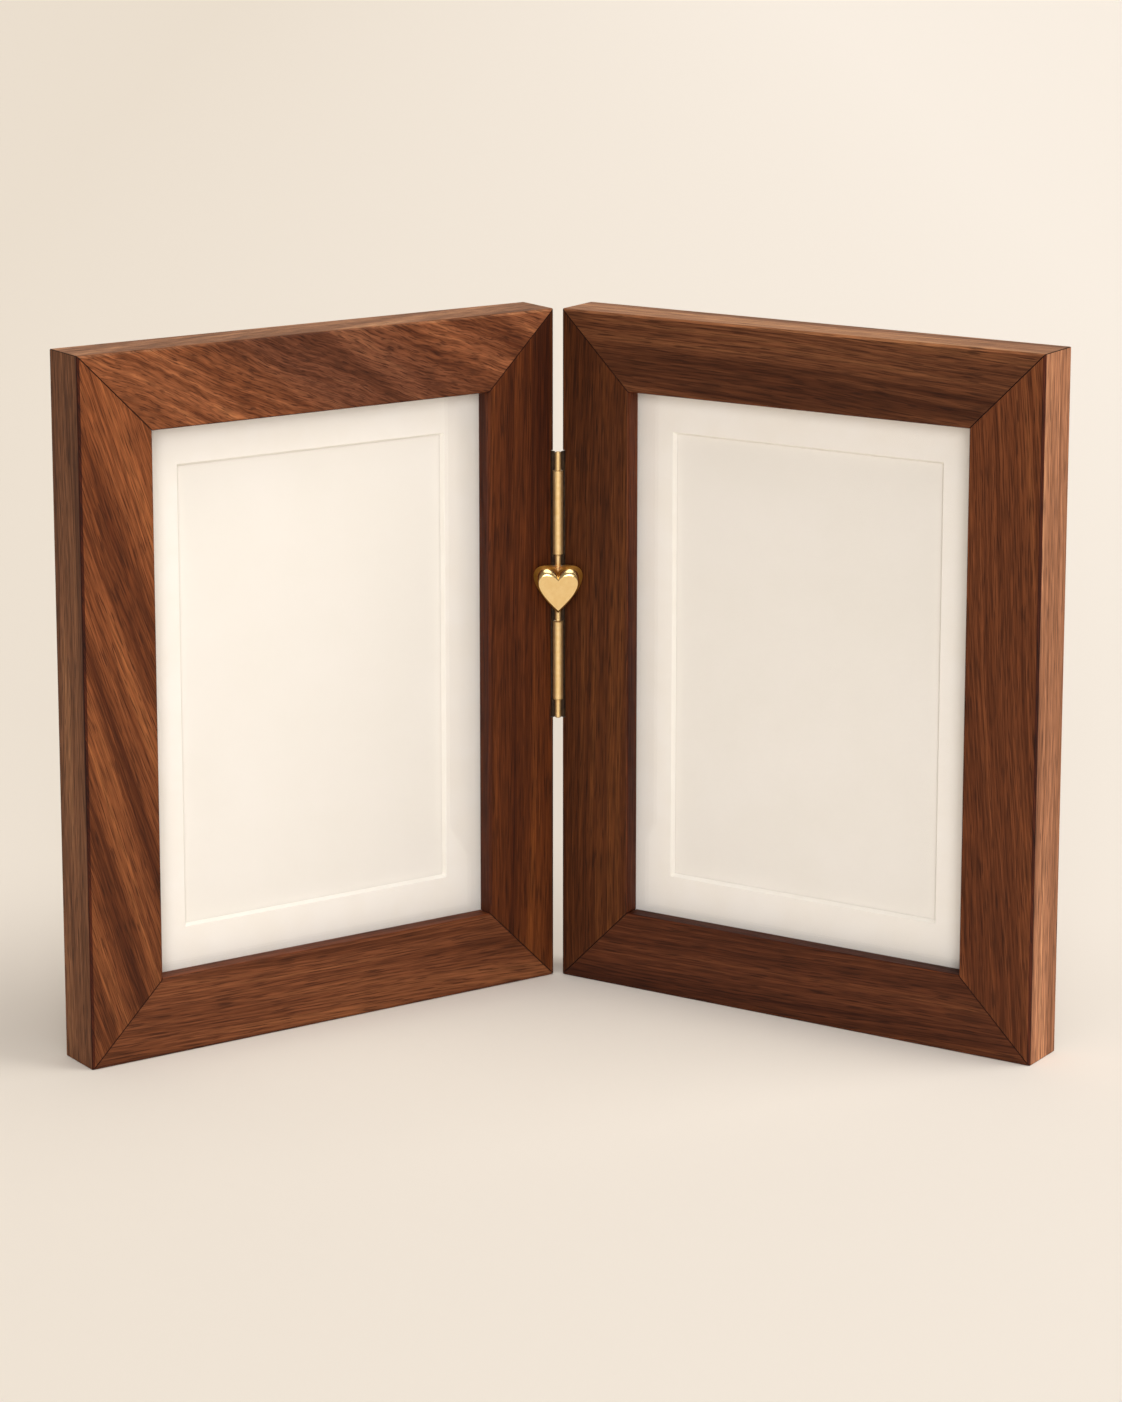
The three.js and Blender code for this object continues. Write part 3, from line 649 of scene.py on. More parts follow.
# %% Grain settings
# Slope in degrees, bend per mm, curl, tints of the front at its two ends, of the eased front arris (a
# painted highlight on the top rails, painted shade on the others) and of the outer edge (a painted sheen),
# and a place in the log in mm
GRAIN = {
    "left_top_rail": (22, 0.0006, 1.0, "#CFA889", "#B99680", "#D0B49C", "#F0E0CC", (0, 0)),
    "left_bottom_rail": (2, 0.0001, 0.15, "#A28067", "#A28067", "#8A6448", "#AF937E", (400, 60)),
    "left_outer_stile": (-22, -0.0007, 0.35, "#9B7759", "#C49873", "#6A3E22", "#B29C86", (800, 120)),
    "left_hinge_stile": (1, 0.0, 0.1, "#885F38", "#885F38", "#7A573B", "#957860", (1200, 180)),
    "right_top_rail": (-2, 0.0002, 0.2, "#917560", "#917560", "#D0B49C", "#F0E0CC", (1600, 240)),
    "right_bottom_rail": (1, 0.0, 0.15, "#81604A", "#81604A", "#8A6448", "#A98F7F", (2000, 300)),
    "right_outer_stile": (4, 0.0002, 0.2, "#A27B5C", "#A27B5C", "#6E4430", "#FBE6D6", (2400, 360)),
    "right_hinge_stile": (-1, 0.0, 0.15, "#795938", "#795938", "#7A573B", "#957860", (2800, 420)),
}
# The lip's tint is painted shade, darker than the fronts
LIP_SHADE_TINT = "#8E6243"
# A darker band crosses one rail at a slant: its lean, and the places in mm where it fades in and out
BANDS = {"left_top_rail": (1.44, (-48, -28, 8, 34))}
NO_BAND = (0, ())
BAND_TINT = "#9C7E70"
# End grain drinks the oil and turns dark, so each mitre shows as a thin dark line
END_TINT = "#4A3020"
END_FACING = 0.2
# Fibres are short on a curly board, and this many times as long on one without curl
LONG_FIBRES = 3.3
# How much of a face's direction points one way when it counts as facing that way, or as part of an arris
FACING = 0.5
ON_ARRIS = 0.12
print("rails with their own grain:", len(GRAIN), "and with a band:", ", ".join(BANDS))


def face_tints(facing, first_tint, last_tint, arris_highlight_shade_tint, edge_sheen_tint):
    """The tints of a face at its rail's two ends, from the way it faces in the rail's own place."""
    if abs(facing.x) > END_FACING:
        return END_TINT, END_TINT
    # Arrises get a painted highlight on the top rails and painted shade on the others, outer edges a painted
    # sheen, and the lip painted shade
    if facing.y < -ON_ARRIS and facing.z < -ON_ARRIS:
        return arris_highlight_shade_tint, arris_highlight_shade_tint
    if abs(facing.z) > FACING:
        return (edge_sheen_tint, edge_sheen_tint) if facing.z < 0 else (LIP_SHADE_TINT, LIP_SHADE_TINT)
    return first_tint, last_tint


def band_share(distance, stations):
    """How far a place lies in a band that fades in between two stations and out between two others."""
    fade_in, full, fading, gone = stations
    return max(0, min(1, (distance - fade_in) / (full - fade_in), (gone - distance) / (gone - fading)))


def lay_grain(piece, own, length, band, slope, bend, curl, *tints_and_place):
    """Writes each face corner's place in the rail in mm, its tint, and the rail's curl."""
    *tints, log_place = tints_and_place
    lean, stations = band
    band_colour = Vector(linear(BAND_TINT))
    mesh = piece.data
    into = own.inverted()
    turn = math.radians(slope)
    shorten = curl + (1 - curl) / LONG_FIBRES
    coordinates, colours = [], []
    for polygon in mesh.polygons:
        facing = into.to_3x3() @ polygon.normal
        first, last = (Vector(linear(code)) for code in face_tints(facing, *tints))
        for index in polygon.loop_indices:
            place = into @ mesh.vertices[mesh.loops[index].vertex_index].co
            along, depth, across = place / MM
            colour = first.lerp(last, 0.5 + place.x / length)
            if stations and abs(facing.y) > FACING:
                colour = colour.lerp(band_colour, band_share(along - lean * across, stations))
            colours += colour[:]
            if facing.y < -FACING:
                slanted = along * math.cos(turn) + across * math.sin(turn)
                across = across * math.cos(turn) - along * math.sin(turn) + bend * along * along
                along = slanted
            elif abs(facing.z) > FACING:
                across, depth = depth, across
            coordinates += [along * shorten + log_place[0], across + log_place[1], depth]
    mesh.attributes.new("grain", "FLOAT_VECTOR", "CORNER").data.foreach_set("vector", coordinates)
    mesh.attributes.new("tint", "FLOAT_COLOR", "CORNER").data.foreach_set("color", colours)
    curls = [curl] * len(mesh.vertices)
    mesh.attributes.new("figure", "FLOAT", "POINT").data.foreach_set("value", curls)


# %% Rails
for side, place in PLACES.items():
    for rail, (where, turn, length, reach) in RAILS.items():
        seat = rail_seat(turn, reach)
        cutters = nail_slots() + [moved(pilot_hole(), seat)]
        if where == "hinge":
            cutters.append(leaf_mortise())
        band = BANDS.get(f"{side}_{rail}", NO_BAND)
        bm = combine(moved(mitred_rail(length, *band), seat), cutters, "DIFFERENCE")
        piece = make_piece(bm, f"{side}_{rail}", place, "walnut", walnut)
        lay_grain(piece, place @ seat, length, band, *GRAIN[f"{side}_{rail}"])
print("rails:", len(GRAIN))

# %% [markdown]
# ## Glass
# Each frame has a 2 mm pane of float glass with its edges ground off. A thick solid with a Glass shader
# bends light as the real pane does, but it also blocks the lamps, so shadow rays and soft bounced light
# are let straight through to the mat.

# %% Glass panes
GROUND_EDGE = 0.25 * MM
GLASS_IOR = 1.5

glass = new_material("clear_float_glass")
tree = glass.node_tree
ray = add(tree, "LightPath", {}, {})
let_through = {0: ray.outputs["Is Shadow Ray"], 1: ray.outputs["Is Diffuse Ray"]}
passing = add(tree, "Math", {"operation": "MAXIMUM"}, let_through)
pane = add(tree, "BsdfGlass", {}, {"Color": linear("#FFFFFF"), "Roughness": 0.0, "IOR": GLASS_IOR})
clear = add(tree, "BsdfTransparent", {}, {})
shader = add(tree, "MixShader", {}, {0: passing.outputs[0], 1: pane.outputs[0], 2: clear.outputs[0]})
add(tree, "OutputMaterial", {}, {"Surface": shader.outputs[0]})

for side, place in PLACES.items():
    bm = block(pane_low, pane_high)
    soften(bm, bm.edges[:], GROUND_EDGE, 1)
    make_piece(bm, f"{side}_glazing", place, "glass", glass)
print("panes:", len(PLACES))

# %% [markdown]
# ## Mat, insert and filler
# The mat is cotton board, cream on its face, with a window cut at a steep slope that shows its core as a
# thin line. Behind it lie a sheet of blank cream paper and a grey card that fills the rebate.
# Board and paper are matt all over, so their interest is in soft mottling and a fibre tooth that only
# shows when light rakes across it.

# %% Board and paper
# Name, colours of the mottling, size of the mottling and of the fibres, and depth of the tooth, all in mm.
# Paper fibres are about 0.02 mm wide, too fine for the render, so the tooth is drawn much coarser.
SHEET_FINISHES = {
    "mat_face": ("cotton_mat_board_face", "#F8F2E9", "#FAF5EE", 14, 0.7, 0.01),
    "mat_core": ("cotton_mat_board_core", "#F5F0E7", "#F7F3EB", 6, 0.5, 0.01),
    "insert": ("smooth_cream_paper", "#F0EBE3", "#F2EDE6", 30, 0.6, 0.005),
    "filler": ("grey_bookbinding_board", "#A99D8B", "#C0B4A1", 5, 0.8, 0.05),
}
SHEET_ROUGH, SHEET_SHEEN, TOOTH_STRENGTH = 0.9, 0.25, 0.5
# Where a noise, which seldom leaves the middle of its range, reaches the darker and the lighter tone
CLOUD_LOW, CLOUD_HIGH = 0.35, 0.65

sheet_finish = {}
for kind, (name, darker, lighter, mottle_size, tooth_size, tooth_depth) in SHEET_FINISHES.items():
    material = new_material(name)
    tree = material.node_tree
    where = add(tree, "TexCoord", {}, {}).outputs["Object"]
    mottle = add(tree, "TexNoise", {}, {"Vector": where, "Scale": 1 / (mottle_size * MM), "Detail": 3.0})
    stops = [(CLOUD_LOW, darker), (CLOUD_HIGH, lighter)]
    tone = add(tree, "ValToRGB", {"stops": stops}, {"Fac": mottle.outputs[0]})
    tooth = add(tree, "TexNoise", {}, {"Vector": where, "Scale": 1 / (tooth_size * MM), "Detail": 2.0})
    relief = {"Strength": TOOTH_STRENGTH, "Distance": tooth_depth * MM}
    bump = add(tree, "Bump", {}, {"Height": tooth.outputs[0], **relief})
    matt = {"Roughness": SHEET_ROUGH, "Specular IOR Level": SHEET_SHEEN}
    inputs = {"Base Color": tone.outputs[0], "Normal": bump.outputs[0], **matt}
    shader = add(tree, "BsdfPrincipled", {}, inputs)
    add(tree, "OutputMaterial", {}, {"Surface": shader.outputs["BSDF"]})
    sheet_finish[kind] = material
print("sheet finishes:", ", ".join(SHEET_FINISHES))

# %% Mat with its bevelled window
MAT_LAP = 3.5 * MM
BEVEL_SLOPE = 0.6
CUT_EDGE = 0.12 * MM
CUT_STEPS = 2
# A face that points forward by a share between these is the sloping cut, which shows the core
LEAST_FORWARD, MOST_FORWARD = 0.3, 0.95
mat_low, mat_high = own_box("mat")
insert_low, insert_high = own_box("print_insert")
mat_thickness = mat_high.y - mat_low.y
bevel_reach = BEVEL_SLOPE * mat_thickness
window_half = (insert_high - insert_low) / 2 - Vector((MAT_LAP, 0, MAT_LAP))
print("mat in mm:", round(mat_thickness / MM, 2), "thick, its cut slopes by", round(bevel_reach / MM, 2))


def window_mat():
    """A board with a window whose sides slope, so that it is wider at the front."""
    bm = bmesh.new()
    left, right, foot, head = mat_low.x, mat_high.x, mat_low.z, mat_high.z
    corners = [(left, foot), (right, foot), (right, head), (left, head)]
    face = bm.faces.new([bm.verts.new((x, mat_low.y, z)) for x, z in corners])
    bmesh.ops.inset_region(bm, faces=[face], thickness=MAT_LAP, use_boundary=True)
    for vert in face.verts:
        across = math.copysign(window_half.x + bevel_reach, vert.co.x - frame_middle.x)
        upward = math.copysign(window_half.z + bevel_reach, vert.co.z - frame_middle.z)
        vert.co = (frame_middle.x + across, mat_low.y, frame_middle.z + upward)
    rim = face.edges[:]
    bm.faces.remove(face)
    sloped = bmesh.ops.extrude_edge_only(bm, edges=rim)["geom"]
    for vert in only(bmesh.types.BMVert, sloped):
        vert.co.x -= math.copysign(bevel_reach, vert.co.x - frame_middle.x)
        vert.co.z -= math.copysign(bevel_reach, vert.co.z - frame_middle.z)
        vert.co.y = mat_high.y
    outside = [edge for edge in open_edges(bm) if edge.verts[0].co.y < mat_high.y - CUT_EDGE]
    side = bmesh.ops.extrude_edge_only(bm, edges=outside)["geom"]
    bmesh.ops.translate(bm, vec=(0, mat_thickness, 0), verts=only(bmesh.types.BMVert, side))
    bmesh.ops.bridge_loops(bm, edges=open_edges(bm))
    bmesh.ops.recalc_face_normals(bm, faces=bm.faces)
    for face in bm.faces:
        face.material_index = int(LEAST_FORWARD < -face.normal.y < MOST_FORWARD)
    near = mat_low.y + CUT_EDGE
    front_rim = [edge for edge in sharp_edges(bm) if all(vert.co.y < near for vert in edge.verts)]
    soften(bm, front_rim, CUT_EDGE, CUT_STEPS)
    return bm


# %% Sheets in the rebate
# The slot and finish of the sheets behind the mat
SHEETS_BEHIND = {"print_insert": ("cream_paper", "insert"), "filler_card": ("grey_card", "filler")}
mat_finishes = (sheet_finish["mat_face"], sheet_finish["mat_core"])

for side, place in PLACES.items():
    make_piece(window_mat(), f"{side}_mat", place, "mat_board", *mat_finishes)
    for part, (slot, kind) in SHEETS_BEHIND.items():
        bm = block(*own_box(part))
        soften(bm, bm.edges[:], CUT_EDGE, 1)
        make_piece(bm, f"{side}_{part}", place, slot, sheet_finish[kind])
print("window in mm:", round(2 * window_half.x / MM, 1), "by", round(2 * window_half.z / MM, 1))

# %% [markdown]
# ## Backing board
# The back is hardboard: wood fibre pressed to a hard brown sheet, smooth and slightly shiny, with darker
# and lighter fibre clumps. Its sawn edges are eased so that it drops into the rebate.

# %% Hardboard
BOARD_EASE = 0.5 * MM
BOARD_EASE_STEPS = 2
# The fibres are about 0.05 mm wide, too fine for the render, so they are drawn ten times as wide
CLUMP, FIBRE_L, FIBRE_W = 3.0 * MM, 2.4 * MM, 0.5 * MM
BOARD_BROWNS = [(0.3, "#573A26"), (0.5, "#6B4A32"), (0.72, "#805B3F")]
FLECKS = {"From Min": 0.35, "From Max": 0.7, "To Min": 0.82, "To Max": 1.18}
BOARD_GLOSS = {"To Min": 0.62, "To Max": 0.48}
BOARD_RELIEF = {"Strength": 0.4, "Distance": 0.05 * MM}
BOARD_SHEEN = 0.35

hardboard = new_material("pressed_brown_hardboard")
tree = hardboard.node_tree
where = add(tree, "TexCoord", {}, {}).outputs["Object"]
pressed = {"Scale": 1 / CLUMP, "Detail": 4.0, "Roughness": 0.6}
clumps = add(tree, "TexNoise", {}, {"Vector": where, **pressed})
tone = add(tree, "ValToRGB", {"stops": BOARD_BROWNS}, {"Fac": clumps.outputs[0]})
scale = (1 / FIBRE_W, 1 / FIBRE_W, 1 / FIBRE_L)
stretch = add(tree, "Mapping", {}, {"Vector": where, "Scale": scale})
tangled = {"Scale": 1.0, "Detail": 2.0, "Distortion": 1.2}
fibres = add(tree, "TexNoise", {}, {"Vector": stretch.outputs[0], **tangled})
flecks = add(tree, "MapRange", {}, {"Value": fibres.outputs[0], **FLECKS})
tone = add(tree, "VectorMath", {"operation": "SCALE"}, {0: tone.outputs[0], "Scale": flecks.outputs[0]})
bump = add(tree, "Bump", {}, {"Height": fibres.outputs[0], **BOARD_RELIEF})
gloss = add(tree, "MapRange", {}, {"Value": clumps.outputs[0], **BOARD_GLOSS})
brown = {"Base Color": tone.outputs[0], "Roughness": gloss.outputs[0], "Normal": bump.outputs[0]}
shader = add(tree, "BsdfPrincipled", {}, {**brown, "Specular IOR Level": BOARD_SHEEN})
add(tree, "OutputMaterial", {}, {"Surface": shader.outputs["BSDF"]})

for side, place in PLACES.items():
    bm = block(*own_box("backing_board"))
    soften(bm, bm.edges[:], BOARD_EASE, BOARD_EASE_STEPS)
    make_piece(bm, f"{side}_backing_board", place, "hardboard", hardboard)
print("backing boards:", len(PLACES))

# %% [markdown]
# ## Metals
# All of the hinge is brass. The heart's flat front is polished and lacquered to a warm gold, and its round
# edge is only buffed, which blurs what it mirrors. Its sides and back are painted a darker, duller old gold,
# as painted shade and a painted reflection of the dark wood beside them. The knuckles, pins and leaf screws
# are brushed to a satin, and the leaves are painted a dull, near-black brown, as painted shade in the narrow
# gap between the stiles. The turn buttons are steel with a thin brass plating, and their screws and the
# V-nails are zinc-plated steel. A metal's colour is its reflection, so each finish differs in how smooth it
# is: polishing marks vary the roughness, and a little relief breaks up the highlights. Lacquer lies over
# the metal, and the painted sides and leaves are less metallic, so more of their painted colour shows.

# %% Metal finishes
# Name, two colours, metallic, roughness from and to, and the size of its marks across and along in mm.
# Real polishing marks are far below 0.1 mm, so all are drawn coarse enough to show.
METALS = {
    "polished": ("polished_lacquered_brass", "#F1CE90", "#F5D599", 1.0, 0.06, 0.11, 0.5, 5.0),
    "buffed": ("buffed_lacquered_brass", "#F1CE90", "#F5D599", 1.0, 0.17, 0.23, 0.5, 5.0),
    "painted_shade_gold": ("toned_satin_old_gold", "#B07A30", "#BE883C", 0.72, 0.34, 0.46, 0.5, 5.0),
    "satin": ("brushed_satin_brass", "#EBC688", "#F1D097", 0.85, 0.36, 0.46, 0.4, 6.0),
    "painted_shade_brown": ("brown_patina_on_brass", "#2E1D10", "#44301C", 0.2, 0.60, 0.75, 0.4, 6.0),
    "plated": ("brass_plated_steel", "#CFA862", "#DDB972", 1.0, 0.24, 0.36, 0.5, 3.0),
    "zinc": ("zinc_plated_steel", "#A9A8A4", "#C3C2BD", 1.0, 0.30, 0.44, 0.6, 2.0),
}
MARK_DEPTH, MARK_STRENGTH = 0.004 * MM, 0.3
# Clouds of colour are this many times as wide as the marks
CLOUD_WIDTH = 4

metal = {}
for kind, (name, darker, lighter, metallic, smooth, rough, across, along) in METALS.items():
    material = new_material(name)
    tree = material.node_tree
    where = add(tree, "TexCoord", {}, {}).outputs["Object"]
    scale = (1 / (across * MM), 1 / (across * MM), 1 / (along * MM))
    stretch = add(tree, "Mapping", {}, {"Vector": where, "Scale": scale})
    marks = add(tree, "TexNoise", {}, {"Vector": stretch.outputs[0], "Scale": 1.0, "Detail": 3.0})
    cloud_scale = 1 / (CLOUD_WIDTH * across * MM)
    cloud = add(tree, "TexNoise", {}, {"Vector": where, "Scale": cloud_scale, "Detail": 2.0})
    stops = [(CLOUD_LOW, darker), (CLOUD_HIGH, lighter)]
    tone = add(tree, "ValToRGB", {"stops": stops}, {"Fac": cloud.outputs[0]})
    gloss = add(tree, "MapRange", {}, {"Value": marks.outputs[0], "To Min": smooth, "To Max": rough})
    relief = {"Strength": MARK_STRENGTH, "Distance": MARK_DEPTH}
    bump = add(tree, "Bump", {}, {"Height": marks.outputs[0], **relief})
    sheen = {"Metallic": metallic, "Roughness": gloss.outputs[0]}
    inputs = {"Base Color": tone.outputs[0], "Normal": bump.outputs[0], **sheen}
    shader = add(tree, "BsdfPrincipled", {}, inputs)
    add(tree, "OutputMaterial", {}, {"Surface": shader.outputs["BSDF"]})
    metal[kind] = material
print("metals:", ", ".join(METALS))

# %% [markdown]
# ## Hinge leaves
# Each leaf is a plate let into the side of its stile, with its own knuckle rolled at the front: the upper
# one on the left leaf, the lower one on the right. The plate's front edge steps back where the heart and
# the other knuckle turn past it, and its steps overlap the heart's tip and lobes in height, where the heart
# curves away, so that no light shows between them. The plate is a prism, the knuckle is a turned barrel
# with a fine chamfer, and the exact Boolean joins them and drills the bore and the countersunk screw holes.

# %% Hinge heights
heart_low, heart_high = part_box("hinge_heart")
END_PLAY = 0.2 * MM
RUN_PLAY = 0.1 * MM
PIN_HEAD_L = 6 * MM
PIN_HEAD_R = 1 * MM
PIN_R = 0.6 * MM
PIN_CLEAR = 0.2 * MM
KNUCKLE_R = 1.65 * MM
KNUCKLE_CHAMFER = 0.18 * MM
ROUND_STEPS = 48
HEART_H = 15.2 * MM
# How far the plate's steps reach past the heart's tip and lobes in height
TIP_OVERLAP = 1.4 * MM
LOBE_OVERLAP = 0.53 * MM
STEP_PLAY = 0.05 * MM

lower_top = heart_low.z - END_PLAY
upper_foot = heart_high.z + END_PLAY
lower_foot = leaf_low.z + PIN_HEAD_L + END_PLAY
upper_top = leaf_high.z - PIN_HEAD_L - END_PLAY
heart_z = (heart_low.z + heart_high.z) / 2
axis_to_side = frame_low.x
axis_to_face = frame_low.y
print("leaf heights in mm:", [round(z / MM, 1) for z in (lower_foot, lower_top, upper_foot, upper_top)])


def barrel(foot, top, radius, chamfer):
    """A round bar about the hinge axis with chamfered ends."""
    profile = [(0, foot), (radius - chamfer, foot), (radius, foot + chamfer)]
    profile += [(radius, top - chamfer), (radius - chamfer, top), (0, top)]
    return turned(profile, ROUND_STEPS)


def leaf_plate(own_knuckle):
    """The plate, with its front edge stepped back from what turns beside it."""
    beside = math.sqrt((PIN_HEAD_R + PIN_CLEAR) ** 2 - axis_to_side**2)
    lower, lower_play = (0, 0) if own_knuckle == "lower" else (axis_to_face, STEP_PLAY)
    upper, upper_play = (0, 0) if own_knuckle == "upper" else (axis_to_face, STEP_PLAY)
    steps = [
        (leaf_low.z, beside),
        (lower_foot - lower_play, lower),
        (lower_top + lower_play, beside),
        (heart_z - HEART_H / 2 + TIP_OVERLAP, axis_to_face),
        (heart_z + HEART_H / 2 - LOBE_OVERLAP, beside),
        (upper_foot - upper_play, upper),
        (upper_top + upper_play, beside),
    ]
    outline = [(leaf_high.y, leaf_high.z), (leaf_high.y, leaf_low.z)]
    tops = [z for z, _ in steps[1:]] + [leaf_high.z]
    for (foot, front), top in zip(steps, tops):
        outline += [(front, foot), (front, top)]
    return prism([(axis_to_side, y, z) for y, z in outline], (LEAF_T, 0, 0))


# %% Leaf screws and their holes
LEAF_SCREW_R = 1 * MM
LEAF_SCREW_HEAD_R = 1.9 * MM
LEAF_SCREW_L = 10 * MM
SLOT_W = 0.6 * MM
SLOT_DEPTH = 0.5 * MM
PLATE_EDGE = 0.12 * MM
PLATE_EDGE_STEPS = 2
SCREW_EDGE = 0.08 * MM
SCREW_SHARP_FROM = 50
LEAF_SCREW_STEPS = 32
# How far each screw's slot is turned, in degrees
LEAF_SCREWS = {"lower": 25, "middle": 80, "upper": 140}
into_side = Matrix.Rotation(-math.pi / 2, 4, "Y")
print("leaf screws in mm:", round(LEAF_SCREW_L / MM, 1), "long,", round(2 * LEAF_SCREW_R / MM, 1), "thick")


def countersunk(gap, above):
    """A countersunk screw down from z = 0, or with a gap and some height above, the hole for it."""
    cone = LEAF_SCREW_HEAD_R - LEAF_SCREW_R
    head = LEAF_SCREW_HEAD_R + gap
    profile = [
        (0, -LEAF_SCREW_L - gap),
        (LEAF_SCREW_R + gap, 2 * LEAF_SCREW_R - LEAF_SCREW_L - gap),
        (LEAF_SCREW_R + gap, -cone),
        (head, 0),
    ]
    profile += [(head, above)] if above else []
    return turned(profile + [(0, above)], LEAF_SCREW_STEPS)


def slotted(bm, head_radius, top, angle):
    """Saws a screwdriver slot across a screw's head."""
    reach, half_slot = head_radius + OVERCUT, SLOT_W / 2
    low = Vector((-reach, -half_slot, top - SLOT_DEPTH))
    high = Vector((reach, half_slot, top + OVERCUT))
    saw = moved(block(low, high), Matrix.Rotation(math.radians(angle), 4, "Z"))
    return combine(bm, [saw], "DIFFERENCE")


def leaf_screw_place(name):
    """Where a leaf screw's head lies in the plate."""
    low, high = own_box("leaf_screw_" + name)
    return Matrix.Translation((low.x, (low.y + high.y) / 2, (low.z + high.z) / 2)) @ into_side


# %% Leaves
OWN_KNUCKLE = {"left": "upper", "right": "lower"}
KNUCKLE_SPANS = {"lower": (lower_foot, lower_top), "upper": (upper_foot, upper_top)}

for side, place in PLACES.items():
    foot, top = KNUCKLE_SPANS[OWN_KNUCKLE[side]]
    plate = leaf_plate(OWN_KNUCKLE[side])
    soften(plate, sharp_edges(plate), PLATE_EDGE, PLATE_EDGE_STEPS)
    bm = combine(plate, [barrel(foot, top, KNUCKLE_R, KNUCKLE_CHAMFER)], "UNION")
    holes = [barrel(foot - OVERCUT, top + OVERCUT, PIN_R + RUN_PLAY, 0)]
    holes += [moved(countersunk(SEAT_GAP, OVERCUT), leaf_screw_place(name)) for name in LEAF_SCREWS]
    bm = combine(bm, holes, "DIFFERENCE")
    # The plate is painted a near-black brown as painted shade, so the gap beside the pins reads dark; the knuckle
    # is satin
    for face in bm.faces:
        middle = face.calc_center_median()
        on_knuckle = math.hypot(middle.x, middle.y) < KNUCKLE_R + PLATE_EDGE and foot <= middle.z <= top
        face.material_index = 0 if on_knuckle else 1
    make_piece(bm, f"{side}_hinge_leaf", place, "brass", metal["satin"], metal["painted_shade_brown"])
    for name, angle in LEAF_SCREWS.items():
        screw = slotted(countersunk(0, 0), LEAF_SCREW_HEAD_R, 0, angle)
        soften(screw, sharp_edges(screw, SCREW_SHARP_FROM), SCREW_EDGE, 1)
        place_in_leaf = place @ leaf_screw_place(name)
        make_piece(screw, f"{side}_leaf_screw_{name}", place_in_leaf, "brass", metal["satin"])
print("leaves:", len(PLACES), "with", len(LEAF_SCREWS), "screws each")

# %% [markdown]
# ## The heart and its pins
# The heart is a cast piece with a flat polished front, a round edge that is broad over the lobes, and a
# back that narrows to a keel, so that it fits between the frames. Two curves draw half of its outline. Its
# body grows from the keel forwards: the outline is extruded ring by ring, and each ring is scaled. Round
# necks reach to the knuckles, and a headed pin goes through each knuckle into a bore in the heart. A face's
# place and direction choose its finish.

# %% Heart
HEART_W = heart_high.x - heart_low.x
HEART_NOTCH = 2.1 * MM
HEART_SHOULDER = 3 * MM
HEART_RISE = 2.7 * MM
HEART_BACK = 1.2 * MM
HEART_KEEL_W = 2.4 * MM
HEART_KEEL_H = 11.5 * MM
HEART_WALL = 1.35 * MM
# Width and height where the round edge starts and where the flat front starts, as shares of the outline
FRONT_W, FRONT_H = 0.85, 0.90
FLAT_W, FLAT_H = 0.795, 0.74
FLAT_DROP = 0.65 * MM
# The round edge leans from the one to the other, in degrees, and meets the flat front at a crisp line
EDGE_LEANS = (54, 14)
CRISP_ANGLE = math.radians(14)
FLAT_FACING = 0.99
NECK_CHAMFER = 0.05 * MM
PIN_GRIP = 5 * MM
CURVE_STEPS = 28
ROUND_RINGS = 10
WALL_RINGS = 3
BACK_RINGS = 8
HEART_FINISHES = ("polished", "painted_shade_gold", "satin", "buffed")
heart_rim = hinge_point.y - heart_low.y - HEART_RISE


def heart_outline():
    """Points from the notch over one lobe to the tip and back, about the heart's middle."""
    half, top = HEART_W / 2, HEART_H / 2
    notch = (0, top - HEART_NOTCH)
    shoulder = (-half, top - HEART_SHOULDER)
    tip = (0, -top)
    # Each curve's two handles are shares of the half width and half height
    lobe = (notch, (-half * 0.2, top * 1.16), (-half, top * 1.22), shoulder)
    flank = (shoulder, (-half, top * 0.1), (-half * 0.42, -top * 0.55), tip)
    left = []
    for curve in (lobe, flank):
        left += interpolate_bezier(*[Vector(point) for point in curve], CURVE_STEPS)[:-1]
    return left + [Vector(tip)] + [Vector((-point.x, point.y)) for point in reversed(left[1:])]


def heart_rings():
    """Each ring's forward place, width and height shares and drop, from the keel to the flat front."""
    keel_w, keel_h = HEART_KEEL_W / HEART_W, HEART_KEEL_H / HEART_H
    rings = []
    for i in range(BACK_RINGS):
        share = i / BACK_RINGS
        rise = math.sqrt(1 - (1 - share) ** 2)
        forward = -HEART_BACK + share * (heart_rim + HEART_BACK)
        rings.append((forward, keel_w + share * (1 - keel_w), keel_h + rise * (1 - keel_h), 0))
    for i in range(WALL_RINGS + 1):
        share = i / WALL_RINGS
        forward = heart_rim + share * HEART_WALL
        rings.append((forward, 1 - share * (1 - FRONT_W), 1 - share * (1 - FRONT_H), 0))
    steep, shallow = EDGE_LEANS
    leans = [steep + (shallow - steep) * i / ROUND_RINGS for i in range(ROUND_RINGS)]
    climbs = [math.tan(math.radians(lean)) for lean in leans]
    for i in range(1, ROUND_RINGS + 1):
        share = i / ROUND_RINGS
        climbed = (HEART_RISE - HEART_WALL) * sum(climbs[:i]) / sum(climbs)
        forward = heart_rim + HEART_WALL + climbed
        width = FRONT_W + share * (FLAT_W - FRONT_W)
        height = FRONT_H + share * (FLAT_H - FRONT_H)
        rings.append((forward, width, height, share * FLAT_DROP))
    return rings


